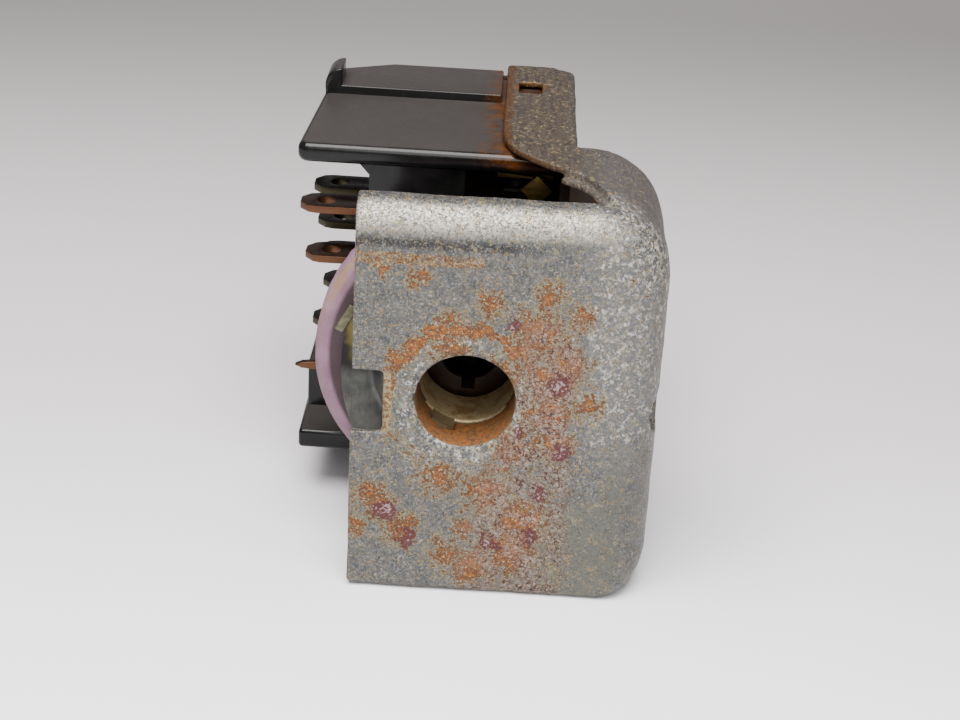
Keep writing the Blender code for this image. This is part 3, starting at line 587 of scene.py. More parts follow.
    # the collar, orange below and brown above
    inside = paint.span(y, 0.4, 1.6) * paint.near((0, 0, SHAFT_Z), 10.5, (1, 0, 1))
    inside = paint.span(inside, 0.02, 0.1)
    lower = paint.span(z, SHAFT_Z + 2.0, SHAFT_Z - 5.5)
    lining = paint.mix(paint.span(paint.noise(0.8, 5.0, 0.65, shift=17.0), 0.38, 0.62),
                       tone(156, 112, 34), tone(118, 94, 44))
    lining = paint.mix(lower * paint.span(pitted, 0.47, 0.53), lining, tone(194, 120, 14))
    lining = paint.mix(paint.span(speckle, 0.52, 0.58, 0.0, 0.8), lining, tone(92, 50, 20))
    colour = paint.mix(inside * 0.94, colour, lining)

    rusty = paint.most(paint.most(body, crust), inside * 0.8)
    covered = paint.most(paint.most(rusty, bloom), halo * 0.8)
    metal = paint.span(covered, 0.15, 0.7, 0.72, 0.0)
    rough = paint.span(grain * 0.5 + spangle * 0.5,
                       0.40, 0.60, 0.24, 0.58)
    rough = paint.most(rough, covered * 0.85)
    bend = paint.span(z, 53.6, 55.6) * paint.span(y, 5.6, 3.6)
    rough -= bend * 0.07
    paint.set(colour=colour, rough=rough, metal=metal)
    height = grain * 0.6 + spangle * 0.8
    height += rusty * 0.5
    height += bloom * 0.25
    height -= (scratch + lines) * 0.4
    paint.bump(height, 0.75, 0.16)
    return paint.material


# Frame

def frame_outline():
    """The frame's outer edge seen from the front: (x, z), outward normal and the bend radius there."""
    bottom_centre = (PLATE_RIGHT - CORNER_BOTTOM, CORNER_BOTTOM)
    top_centre = (PLATE_RIGHT - CORNER_TOP, PLATE_HEIGHT - CORNER_TOP)
    points = []
    for x in (PLATE_LEFT, STRAP_LEFT, bottom_centre[0] - 2):
        points.append(((x, 0.0), (0, -1), BEND_BOTTOM))
    for centre, radius, start, first, last in (
        (bottom_centre, CORNER_BOTTOM, -90, BEND_BOTTOM, BEND_RIGHT),
        (top_centre, CORNER_TOP, 0, BEND_RIGHT, BEND_TOP),
    ):
        steps = 24
        for step in range(steps + 1):
            share = step / steps
            angle = math.radians(start + 90 * share)
            normal = (math.cos(angle), math.sin(angle))
            spot = (centre[0] + radius * normal[0], centre[1] + radius * normal[1])
            ease = math.sin(share * math.pi / 2) ** 2
            points.append((spot, normal, first + (last - first) * ease))
    for x in (top_centre[0] - 3, PLATE_LEFT):
        points.append(((x, PLATE_HEIGHT), (0, 1), BEND_TOP))
    return points


def frame_sheet():
    """The pressed sheet as one skin with a thickness."""
    outline = frame_outline()
    rings = []
    bend_steps = 14
    for step in range(bend_steps + 1):
        angle = math.pi / 2 * step / bend_steps
        inward, deep = 1 - math.sin(angle), 1 - math.cos(angle)
        rings.append([(x - nx * bend * inward, bend * deep, z - nz * bend * inward)
                      for (x, z), (nx, nz), bend in outline])
    for depth in (SIDE_DEPTH, STRAP_END):
        rings.append([(edge[0][0], depth, edge[0][1]) for edge in outline])
    shape = bmesh.new()
    rows = [[shape.verts.new(place(*spot)) for spot in ring_points] for ring_points in rings]
    shape.faces.new(rows[0])
    for front, back in zip(rows, rows[1:]):
        for i in range(len(outline) - 1):
            shape.faces.new((front[i], back[i], back[i + 1], front[i + 1]))
    bmesh.ops.recalc_face_normals(shape, faces=shape.faces)
    sheet = mesh_object("pressed_frame", shape)
    skin = sheet.modifiers.new("Solidify", "SOLIDIFY")
    skin.thickness = SHEET * MM
    skin.offset = -1
    skin.use_even_offset = True
    settle(sheet)
    return sheet


def ragged(points, amount, size, seed):
    """An outline with its points moved about, as a torn or sheared edge runs."""
    made = []
    for i, (a, b) in enumerate(points):
        field = noise.noise_vector(Vector((a / size, b / size, seed + i * 0.01)))
        made.append((a + field.x * amount, b + field.y * amount))
    return made


def between(start, end, steps):
    return [(start[0] + (end[0] - start[0]) * i / steps, start[1] + (end[1] - start[1]) * i / steps)
            for i in range(steps)]


def build_frame():
    sheet = frame_sheet()
    beyond = STRAP_END + 10
    far_left = PLATE_LEFT - 10
    torn = [(18.6, 5.2), (19.4, 6.0), (18.9, 8.4), (18.0, 11.2), (17.0, 14.2), (15.2, 17.0), (13.6, 18.2),
            (12.6, 19.4)]
    torn_edge = [torn[0]]
    for start, end in zip(torn[1:], torn[2:]):
        torn_edge += ragged(between(start, end, 5), 0.35, 1.1, 3.0)
    sheared = [(12.6, 19.4), (10.0, 21.6), (7.4, 24.3), (5.6, 26.6), (4.2, 29.2), (3.3, 32.4),
               (STRAP_LEFT, 35.8)]
    sheared_edge = []
    for start, end in zip(sheared, sheared[1:]):
        sheared_edge += ragged(between(start, end, 4), 0.10, 0.9, 6.0)
    top_opening = prism(
        "top_opening",
        [(far_left, 5.2), (16.6, 5.2), (17.4, 4.9), (18.2, 4.7)] + torn_edge + sheared_edge
        + [(STRAP_LEFT, 35.8), (STRAP_LEFT, beyond), (far_left, beyond)],
        "XY", PLATE_HEIGHT - 8, PLATE_HEIGHT + 5,
    )
    bottom_opening = prism(
        "bottom_opening",
        [(far_left, 5.2), (12.0, 5.2)] + arc((12.0, 14.2), 9.0, -90, -180, 12)[1:-1]
        + [(STRAP_LEFT, 16.0), (STRAP_LEFT, beyond), (far_left, beyond)],
        "XY", -5, 5,
    )
    behind_side = box("side_trim", (STRAP_RIGHT, SIDE_DEPTH, -5), (PLATE_RIGHT + 5, beyond, 70))
    hole = rod("hole", COLLAR_OUTER - 0.6, -3, 4)
    side_hole = rod("side_hole", 3.1, 18, 34, "X", (0, 6.5, 29.0), 48)
    notch = prism(
        "notch", [(far_left, 25.7)] + arc((-10.9, 26.2), 0.5, -90, 0, 4) + arc((-10.9, 34.6), 0.5, 0, 90, 4)
        + [(far_left, 35.1)], "XZ", -3, 4,
    )
    slot = prism(
        "strap_slot", arc((5.8, 57.6), 0.6, 180, 270, 4) + arc((8.2, 57.6), 0.6, 270, 360, 4)
        + arc((8.2, 62.8), 0.6, 0, 90, 4) + arc((5.8, 62.8), 0.6, 90, 180, 4), "XY",
        PLATE_HEIGHT - 5, PLATE_HEIGHT + 5,
    )
    corner = prism(
        "strap_corner",
        [(STRAP_RIGHT + 2, STRAP_END - 4), (STRAP_RIGHT, STRAP_END - 4)]
        + arc((STRAP_RIGHT - 3, STRAP_END - 4), 3, 0, 90, 8)
        + [(STRAP_RIGHT - 3, beyond), (STRAP_RIGHT + 2, beyond)], "XY", -5, PLATE_HEIGHT + 5,
    )
    plate_corner = prism(
        "plate_corner", [(PLATE_LEFT - 2, -2), (PLATE_LEFT + 1.2, -2)]
        + arc((PLATE_LEFT + 1.2, 1.2), 1.2, 270, 180, 6) + [(PLATE_LEFT - 2, 1.2)], "XZ", -2, 8,
    )
    cut(sheet, behind_side, top_opening, bottom_opening, hole, side_hole, notch, slot, corner, plate_corner)
    top_lip = box("top_lip", (STRAP_LEFT, STRAP_END - SHEET, 52.5),
                  (STRAP_RIGHT - 3, STRAP_END, PLATE_HEIGHT - 0.3))
    low_lip = box("low_lip", (STRAP_LEFT, STRAP_END - SHEET, 0.3), (STRAP_RIGHT - 3, STRAP_END, 8.0))
    tab = box("lanced_tab", (-11.7, 0.1, 26.3), (-10.3, 4.6, 34.5))
    outer_edge = [(19.5, 5.4), (19.6, 8.0), (18.7, 11.4), (17.5, 14.6), (15.5, 17.5), (12.7, 20.0)]
    inner_edge = [(12.0, 19.0), (14.4, 16.5), (16.2, 13.7), (17.2, 10.7), (17.9, 8.0), (17.8, 6.0)]
    torn_lip = prism("torn_lip", outer_edge + ragged(inner_edge, 0.3, 1.3, 2.0), "XY", PLATE_HEIGHT - 2.4,
                     PLATE_HEIGHT - 1.5)
    join(sheet, top_lip, low_lip, tab, torn_lip)
    collar = lathe("collar", [
        (BORE, 0.55), (BORE + 0.25, 0.22), (BORE + 0.7, 0.05), (COLLAR_OUTER, 0.0),
        (COLLAR_OUTER + 0.3, SHEET - 0.1), (10.2, SHEET), (10.2, 2.7), (COLLAR_OUTER, 2.9),
        (COLLAR_OUTER, COLLAR_END), (BORE, COLLAR_END),
    ], steps=128)
    key = box("collar_key", (0, COLLAR_END - KEY_DEPTH, SHAFT_Z - KEY_WIDTH / 2),
              (12, COLLAR_END + 1, SHAFT_Z + KEY_WIDTH / 2))
    turn_about_shaft(key, KEY_ANGLE)
    cut(collar, key)
    join(sheet, collar)
    voxel(sheet, 0.38)
    relax(sheet, 2, 0.5)
    knead(sheet, 0.12, 7.0, 1.0)
    knead(sheet, 0.05, 1.6, 4.0)
    finish_piece(sheet, "case", "galvanised_steel", frame_paint(), "frame", "bezel_collar")


# Plain materials

def tarnished(name, light, dark, stain, rough=(0.3, 0.6), metal=0.85, scale=0.7, stain_from=0.6, shift=0.0):
    """Old metal: two tones, a stain in blots, fine scratches and uneven gloss."""
    paint = Paint(name)
    broad = paint.noise(scale, 5.0, 0.62, 0.3, shift=shift)
    fine = paint.noise(scale * 9, 3.0, 0.7, shift=shift + 3)
    brushed = paint.noise(scale, 4.0, 0.6, where=paint.stretched(0.4, 5.0, 5.0), shift=shift + 5)
    colour = paint.mix(paint.span(broad, 0.36, 0.64), light, dark)
    colour = paint.mix(paint.span(fine, 0.5, 0.75, 0.0, 0.45), colour, dark)
    blots = paint.noise(scale * 1.3, 6.0, 0.72, 0.4, shift=shift + 9)
    blots = paint.span(blots, stain_from, stain_from + 0.09)
    colour = paint.mix(blots * 0.8, colour, stain)
    gloss = paint.span(broad * 0.5 + brushed * 0.5,
                       0.35, 0.65, *rough)
    gloss = paint.most(gloss, blots * 0.75)
    paint.set(colour=colour, rough=gloss, metal=paint.span(blots, 0.0, 1.0, metal, 0.1))
    height = fine * 0.5 + brushed * 0.5
    paint.bump(height, 0.3, 0.05)
    return paint.material


def moulded(name, base, gloss, dust_and_sheen=0.5):
    """Moulded plastic: nearly even colour, faint flow marks, grey on what faces up from dust and from a
    painted reflection of the sky, small scuffs.
    """
    paint = Paint(name)
    flow = paint.noise(0.25, 4.0, 0.6, 1.2)
    fine = paint.noise(6.0, 3.0, 0.7, shift=2.0)
    lighter = tuple(channel * 1.4 + 0.001 for channel in base)
    colour = paint.mix(paint.span(flow, 0.4, 0.65, 0.0, 0.6), base, lighter)
    up = paint.span(paint.facing_up(), 0.86, 0.97)
    smear = paint.noise(0.35, 6.0, 0.7, 0.6, shift=6.0)
    # dust and painted reflection: faces that look up turn grey, standing for dust and for the sky reflected
    # in the moulding's top; the roughness below takes only the dust
    dust_and_painted_sheen = up * paint.span(smear, 0.30, 0.75, 0.92, 1.0)
    dust_and_painted_sheen *= dust_and_sheen
    colour = paint.mix(dust_and_painted_sheen, colour, tone(100, 95, 93))
    specks = paint.span(paint.cells(1.1), 0.10, 0.05) * paint.span(smear, 0.5, 0.6)
    colour = paint.mix(specks * 0.25, colour, tone(130, 122, 108))
    low, high = gloss
    rough = paint.span(fine * 0.4 + flow * 0.6,
                       0.38, 0.62, low, high)
    rough = paint.math("ADD", rough, dust_and_painted_sheen * 0.35, clamp=True)
    paint.set(colour=colour, rough=rough, metal=0.0, specular=0.18)
    paint.bump(fine * 0.3 + flow, 0.12, 0.06)
    return paint


def housing_paint():
    """The black moulding, with rust stains beside the strap."""
    paint = moulded("black_moulding", (0.0032, 0.0031, 0.003), (0.16, 0.26), 0.6)
    x, z = paint.axis("X"), paint.axis("Z")
    before = Value(paint, paint.shader.inputs["Base Color"].links[0].from_socket)
    blots = paint.noise(0.28, 6.0, 0.72, 0.5, shift=13.0)
    beside = paint.span(x, -4.0, 2.8) * paint.span(z, 55.4, 57.2)
    beside = paint.most(beside, paint.near((7.0, 60.2, 59.0), 5.0))
    stain = paint.span(beside * 0.25 + blots, 0.60, 0.80, 0.0, 0.85)
    tint = paint.span(paint.noise(0.6, 4.0, shift=3.0), 0.35, 0.65)
    tint = paint.mix(tint, tone(118, 74, 24), tone(80, 56, 36))
    paint.set(colour=paint.mix(stain * beside, before, tint))
    return paint.material


def ceramic_paint():
    """Unglazed mauve ceramic with tan bevels, pores, grey dirt and painted shade inward of the outer rim."""
    paint = Paint("mauve_ceramic")
    y, z = paint.axis("Y"), paint.axis("Z")
    broad = paint.noise(0.22, 4.0, 0.6)
    fine = paint.noise(5.0, 4.0, 0.75, shift=4.0)
    colour = paint.mix(paint.span(broad, 0.35, 0.65), tone(170, 132, 154), tone(192, 154, 174))
    colour = paint.mix(paint.span(fine, 0.45, 0.75, 0.0, 0.4), colour, tone(190, 160, 172))
    reach = paint.vector("DISTANCE", paint.stretched(1, 0, 1), (0, 0, SHAFT_Z))
    rim = paint.span(reach, 21.4, 22.3) * paint.span(y, 16.9, 15.9)
    rim *= paint.span(z, SHAFT_Z + 2.0, SHAFT_Z + 12.0, 0.15, 1.0)
    rim *= paint.span(paint.noise(0.5, 4.0, 0.65, shift=8.0), 0.36, 0.56)
    colour = paint.mix(rim * 0.75, colour, tone(184, 152, 112))
    pores = paint.span(paint.cells(2.2), 0.16, 0.07)
    pores *= paint.span(paint.noise(0.6, 3.0, shift=6.0), 0.5, 0.6)
    colour = paint.mix(pores * 0.75, colour, tone(72, 48, 62))
    dirt = paint.span(paint.noise(0.9, 6.0, 0.75, shift=12.0), 0.58, 0.72, 0.0, 0.5)
    colour = paint.mix(dirt, colour, tone(120, 98, 108))
    # painted shade: dark brown inward from radius 21.3 mm, painted in place of the shadow on the ring's inner
    # wall
    painted_inner_shade = paint.span(reach, 21.3, 20.5)
    colour = paint.mix(painted_inner_shade * 0.85, colour, tone(56, 40, 32))
    paint.set(colour=colour, rough=paint.span(fine, 0.4, 0.7, 0.55, 0.8), metal=0.0, specular=0.35)
    height = fine - pores * 0.8
    paint.bump(height, 0.4, 0.08)
    return paint.material


def cup_paint():
    """Dull drawn steel with draw lines, an olive stain, painted shade at the top of the notch, painted light
    that brightens the neck's inside, and a painted shadow line in a rust tone at the neck's front rim.
    """
    paint = Paint("drawn_steel")
    y, z = paint.axis("Y"), paint.axis("Z")
    broad = paint.noise(0.35, 5.0, 0.6)
    draw = paint.noise(1.0, 4.0, 0.6, where=paint.stretched(1.6, 1.0, 0.3), shift=2.0)
    grain = paint.noise(9.0, 2.0, 0.7, shift=5.0)
    colour = paint.mix(paint.span(broad, 0.35, 0.65), tone(104, 106, 104), tone(132, 132, 126))
    colour = paint.mix(paint.span(draw, 0.50, 0.66, 0.0, 0.35), colour, tone(66, 60, 54))
    shade = paint.span(z, 27.6, 31.5) * paint.near((-15.0, 12.5, 32.0), 12.0)
    colour = paint.mix(paint.math("MULTIPLY", shade, 2.2, clamp=True), colour, tone(56, 50, 48))
    stain = paint.near((-15.5, 13.2, 37.5), 6.0, (1.5, 0.4, 0.62), where=paint.warped(0.5, 3.0))
    colour = paint.mix(paint.span(stain, 0.1, 0.5, 0.0, 0.85), colour, tone(150, 138, 82))
    # painted light: the neck's inside is olive grey at three times the brightness, painted in place of light
    # reaching into it
    neck = paint.near((0, 0, SHAFT_Z), 9.4, (1, 0, 1))
    neck = paint.span(neck, 0.05, 0.12)
    olive = paint.mix(paint.span(grain, 0.42, 0.62), tone(150, 132, 94, 3.0), tone(214, 200, 166, 3.0))
    olive = paint.mix(paint.span(broad, 0.48, 0.62, 0.0, 0.6), olive, tone(150, 108, 64, 3.0))
    # rust and painted shadow: the neck's front rim is darkened to a rust brown, standing for rust and for the
    # shaded gap behind the collar
    rim_rust_and_painted_shadow = paint.span(y, COLLAR_END + 0.7, COLLAR_END + 0.35)
    olive = paint.mix(rim_rust_and_painted_shadow * paint.span(z, SHAFT_Z - 4.5, SHAFT_Z - 4.0, 0.6, 1.0), olive,
                      tone(84, 50, 24))
    colour = paint.mix(neck, colour, olive)
    rust = paint.span(paint.noise(0.7, 6.0, 0.72, shift=9.0), 0.60, 0.70, 0.0, 0.7)
    colour = paint.mix(rust, colour, tone(140, 86, 42))
    rough = paint.span(grain, 0.4, 0.65, 0.32, 0.55)
    paint.set(colour=colour, rough=rough, metal=paint.span(rust, 0, 0.7, 0.7, 0.1))
    paint.bump(draw * 0.7 + grain * 0.4, 0.35, 0.08)
    return paint.material


def fibre_paint():
    """Pressed fibre: brown, matted, darker along the wear."""
    paint = Paint("pressed_fibre")
    mats = paint.noise(1.0, 5.0, 0.7, where=paint.stretched(0.6, 2.4, 3.4))
    broad = paint.noise(0.2, 4.0, 0.6, shift=3.0)
    colour = paint.mix(paint.span(mats, 0.35, 0.65), tone(50, 38, 30), tone(80, 60, 46))
    colour = paint.mix(paint.span(broad, 0.4, 0.7, 0.0, 0.5), colour, tone(38, 30, 25))
    paint.set(colour=colour, rough=paint.span(mats, 0.4, 0.6, 0.62, 0.85), metal=0.0, specular=0.25)
    paint.bump(mats, 0.4, 0.07)
    return paint.material


def blade_paint(name, face, edge, grime, shift):
    """A stamped blade: tarnished faces, bright where the shear left the edge bare."""
    paint = Paint(name)
    broad = paint.noise(0.6, 5.0, 0.65, 0.3, shift=shift)
    fine = paint.noise(8.0, 3.0, 0.7, shift=shift + 2)
    colour = paint.mix(paint.span(broad, 0.35, 0.65), face, grime)
    side = paint.span(paint.math("ABSOLUTE", paint.facing_up()), 0.75, 0.35)
    colour = paint.mix(side * paint.span(fine, 0.3, 0.6, 0.5, 0.95), colour, edge)
    rough = paint.span(fine, 0.35, 0.65, 0.3, 0.55)
    paint.set(colour=colour, rough=rough, metal=0.8)
    paint.bump(fine, 0.25, 0.05)
    return paint.material


PAINTS = {}


def paint_for(slot):
    """The material of a record slot, made once."""
    if slot not in PAINTS:
        makers = {
            "cup_steel": cup_paint,
            "ceramic": ceramic_paint,
            "black_phenolic": housing_paint,
            "fibre_board": fibre_paint,
            "brown_phenolic": lambda: moulded("brown_moulding", tone(58, 38, 28), (0.3, 0.5), 0.3).material,
            "zinc": lambda: tarnished("old_zinc", tone(150, 146, 112), tone(110, 104, 76), tone(144, 100, 58),
                                      metal=0.4),
            "resistance_wire": lambda: tarnished("resistance_wire", tone(140, 138, 132), tone(90, 86, 82),
                                                 tone(96, 66, 40), scale=1.5),
            "copper": lambda: blade_paint("browned_copper", tone(108, 80, 64), tone(146, 104, 76),
                                          tone(82, 60, 50), 1.0),
            "dark_copper": lambda: blade_paint("olive_tarnish", tone(64, 60, 44), tone(96, 90, 62),
                                               tone(44, 42, 34), 5.0),
            "brass": lambda: tarnished("old_brass", tone(140, 118, 66), tone(100, 88, 54), tone(64, 58, 44),
                                       shift=4.0),
            "spring_steel": lambda: tarnished("spring_steel", tone(146, 146, 146), tone(98, 98, 98),
                                              tone(134, 84, 46), scale=1.2, shift=8.0),
            "silver": lambda: tarnished("contact_silver", tone(96, 94, 90), tone(62, 60, 58),
                                        tone(42, 40, 38), shift=12.0),
        }
        PAINTS[slot] = makers[slot]()
    return PAINTS[slot]


SLOTS = {entry["node"]: entry["material_slot"] for entry in frame["record"]["subparts"]}
BODY_OF = {node: body for body, nodes in frame["record"]["behaviour"]["bodies"].items() for node in nodes}


def stand_for(piece, *nodes):
    """piece takes the body of the CAD nodes that it replaces, and the material of their slot."""
    slot = SLOTS[nodes[0]]
    return finish_piece(piece, BODY_OF[nodes[0]], slot, paint_for(slot), *nodes)


def keep_node(node):
    """A CAD node whose shape is right keeps it, and takes the detailed material."""
    mesh = frame["nodes"][node].data
    mesh.materials.clear()
    mesh.materials.append(paint_for(SLOTS[node]))


# Dimmer

def rounded(profile, radius, steps=4):
    """A closed profile with its corners rounded."""
    made = []
    count = len(profile)
    for i, point in enumerate(profile):
        before, here, after = Vector(profile[i - 1]), Vector(point), Vector(profile[(i + 1) % count])
        to_before, to_after = before - here, after - here
        reach = min(radius, to_before.length * 0.45, to_after.length * 0.45)
        start, end = here + to_before.normalized() * reach, here + to_after.normalized() * reach
        for step in range(steps + 1):
            t = step / steps
            spot = start.lerp(here, t).lerp(here.lerp(end, t), t)
            made.append((spot.x, spot.y))
    return made


def spaced(profile, length):
    """A closed profile with extra points, so that none are further apart than length."""
    made = []
    for start, end in zip(profile, profile[1:] + profile[:1]):
        steps = max(1, math.ceil(math.dist(start, end) / length))
        made += between(start, end, steps)
    return made


def build_cup():
    neck, outer = 7.0, 8.2
    rim = own("dimmer_cup")[1].x
    front, back = COLLAR_END + 0.3, own("dimmer_cup")[1].y
    profile = [(neck, front), (outer, front), (outer, 9.6), (12.4, 9.6), (14.4, 13.2), (rim, 13.2),
               (rim, 14.4), (13.8, 14.4), (11.8, 10.8), (outer, 10.8), (outer, back), (neck, back)]
    cup = lathe("pressed_cup", rounded(profile, 0.7), steps=128)
    tongue = box("tongue", (0, COLLAR_END - KEY_DEPTH + 0.3, SHAFT_Z - KEY_WIDTH / 2 + 0.3),
                 (12, 9.4, SHAFT_Z + KEY_WIDTH / 2 - 0.3))
    turn_about_shaft(tongue, KEY_ANGLE)
    sleeve = lathe("sleeve", [(neck + 0.1, 5), (outer - 0.1, 5), (outer - 0.1, 9.5), (neck + 0.1, 9.5)])
    boolean(tongue, sleeve, "INTERSECT")
    join(cup, tongue)
    flat_side = rod("flat_side", 27.6, 5, 20, at=(8.7, 0, 29.8))
    boolean(cup, flat_side, "INTERSECT")
    smooth(cup, 40)
    stand_for(cup, "dimmer_cup")


def build_disc():
    low, high = own("dimmer_disc")
    radius, front, back = high.x, low.y, high.y
    bore, inner, outer, floor, edge = 9.5, 14.2, 19.3, 16.5, 1.0
    profile = [(bore, front), (radius - edge, front), (radius, front + edge), (radius, back - edge),
               (radius - edge, back), (outer, back), (outer, floor), (inner, floor), (inner, back),
               (bore, back)]
    disc = lathe("ceramic_disc", spaced(rounded(profile, 0.35, 3), 0.8), steps=300)
    shape = bmesh.new()
    shape.from_mesh(disc.data)
    centre = place(0, 0, SHAFT_Z)
    for vert in shape.verts:
        across = Vector((vert.co.x - centre.x, 0, vert.co.z - centre.z))
        distance = across.length / MM
        along = (vert.co.y - centre.y) / MM
        corner = max(0.0, 1 - min(abs(along - front - 0.5), abs(back - 0.5 - along)) / 1.3)
        if distance < radius - 1.6:
            continue
        chip = max(0.0, noise.noise(vert.co / MM * 0.9) - 0.22) * 1.1
        chip += max(0.0, noise.noise(vert.co / MM * 2.3 + Vector((5, 1, 3))) - 0.28) * 0.7
        vert.co -= across.normalized() * chip * corner * MM
    shape.to_mesh(disc.data)
    shape.free()
    knead(disc, 0.03, 3.0, 2.0)
    smooth(disc, 60)
    stand_for(disc, "dimmer_disc")


def build_coil():
    """The resistance wire, wound round a ring in the groove, open opposite the wiper's rest."""
    radius, tube_radius, middle = 16.75, 1.9, 19.2
    turns, per_turn, sweep, rest = 104, 14, math.radians(296), math.radians(-45)
    points = []
    for step in range(turns * per_turn + 1):
        along = rest - sweep / 2 + sweep * step / (turns * per_turn)
        angle = 2 * math.pi * step / per_turn
        reach = radius + tube_radius * math.cos(angle)
        points.append((reach * math.cos(along), middle + tube_radius * math.sin(angle),
                       SHAFT_Z + reach * math.sin(along)))
    stand_for(tube("coil_winding", points, 0.24, 2), "dimmer_coil")
    for name, slant in (("coil_clip_left", 61), ("coil_clip_top", 106)):
        low, high = own(name)
        middle = (low + high) / 2
        clip = box(name + "_strip", (-2.2, -0.3, -0.7), (2.2, 0.3, 0.7))
        tilt_at(clip, middle, -slant)
        soften(clip, 0.2, 3)
        knead(clip, 0.05, 1.2, 3.0)
        stand_for(clip, name)


def build_rotor():
    low, high = own("rotor_hub")
    outer, bore, flange = 9.0, 4.3, 11.5
    front, back = low.y, high.y
    profile = [(bore, front), (outer, front), (outer, 23.0), (flange, 23.0), (flange, 24.0), (outer, 24.0),
               (outer, back), (bore, back)]
    hub = lathe("moulded_hub", rounded(profile, 0.3, 3))
    cut(hub, box("keyway", (-1.0, front - 2, SHAFT_Z - 6.0), (1.0, back + 2, SHAFT_Z)))
    smooth(hub, 40)
    stand_for(hub, "rotor_hub")
    brush_low, brush_high = own("wiper_brush")
    middle = (brush_low + brush_high) / 2
    brush = lathe("silver_brush", [(0, brush_low.y), (0.9, brush_low.y + 0.05), (1.3, brush_low.y + 0.4),
                                   (1.3, brush_high.y), (0, brush_high.y)],
                  at=(middle.x, 0, middle.z), closed=False)
    smooth(brush, 40)
    stand_for(brush, "wiper_brush")
    washer_low, washer_high = own("insulating_washer")
    profile = [(5.2, washer_low.y), (12.0, washer_low.y), (12.0, washer_high.y), (5.2, washer_high.y)]
    washer = lathe("fibre_washer", rounded(profile, 0.25, 3))
    smooth(washer, 40)
    stand_for(washer, "insulating_washer")
    arm_low, arm_high = own("wiper_arm")
    arm = box("arm_blade", (10.5, arm_low.y, SHAFT_Z - 3.0), (18.4, arm_high.y, SHAFT_Z + 3.0))
    cut(arm, rod("arm_dimple", 0.7, arm_low.y - 1, arm_high.y + 1, at=(13.0, 0, SHAFT_Z), steps=32))
    turn_about_shaft(arm, math.radians(-45))
    join(arm, lathe("arm_eye", [(9.3, arm_low.y), (12.0, arm_low.y), (12.0, arm_high.y), (9.3, arm_high.y)]))
    soften(arm, 0.12, 2)
    stand_for(arm, "wiper_arm")
    build_wave_washer()


def build_wave_washer():
    low, high = own("wave_washer")
    inner, outer, thick, waves = 9.4, 11.9, 0.35, 3
    middle, rise = (low.y + high.y) / 2, (high.y - low.y - thick) / 2
    shape = bmesh.new()
    steps = 144
    rows = []
    for step in range(steps):
        angle = 2 * math.pi * step / steps
        level = middle + rise * math.cos(waves * angle)
        corners = rounded([(inner, level - thick / 2), (outer, level - thick / 2), (outer, level + thick / 2),
                           (inner, level + thick / 2)], 0.12, 2)
        rows.append([shape.verts.new(place(r * math.cos(angle), y, SHAFT_Z + r * math.sin(angle)))
                     for r, y in corners])
    count = len(rows[0])
    for i in range(steps):
        near, far = rows[i], rows[(i + 1) % steps]
        for j in range(count):
            k = (j + 1) % count
            shape.faces.new((near[j], near[k], far[k], far[j]))
    bmesh.ops.recalc_face_normals(shape, faces=shape.faces)
    washer = mesh_object("spring_washer", shape)
    smooth(washer, 45)
    stand_for(washer, "wave_washer")


# Housing and boards

BODY_LEFT, BODY_RIGHT = -16.8, 13.6
BODY_FRONT = own("terminal_housing")[0].y
BODY_BACK = own("terminal_housing")[1].y
BODY_BOTTOM = own("terminal_housing")[0].z
BODY_TOP = 58.9
GUIDE_LEFT_FRONT = own("terminal_housing")[0].x
GUIDE_LEFT_BACK = -26.2
GUIDE_THICK = 3.2
STEP_Y, STEP_TOP = 55.0, 60.3
WALL = 2.5
FRONT_WALL_RIGHT = -2.3
LOW_GUIDE_BOTTOM = 7.9
SLACK = 0.3
BLADES = [node for node in SLOTS if node.startswith("blade_")]


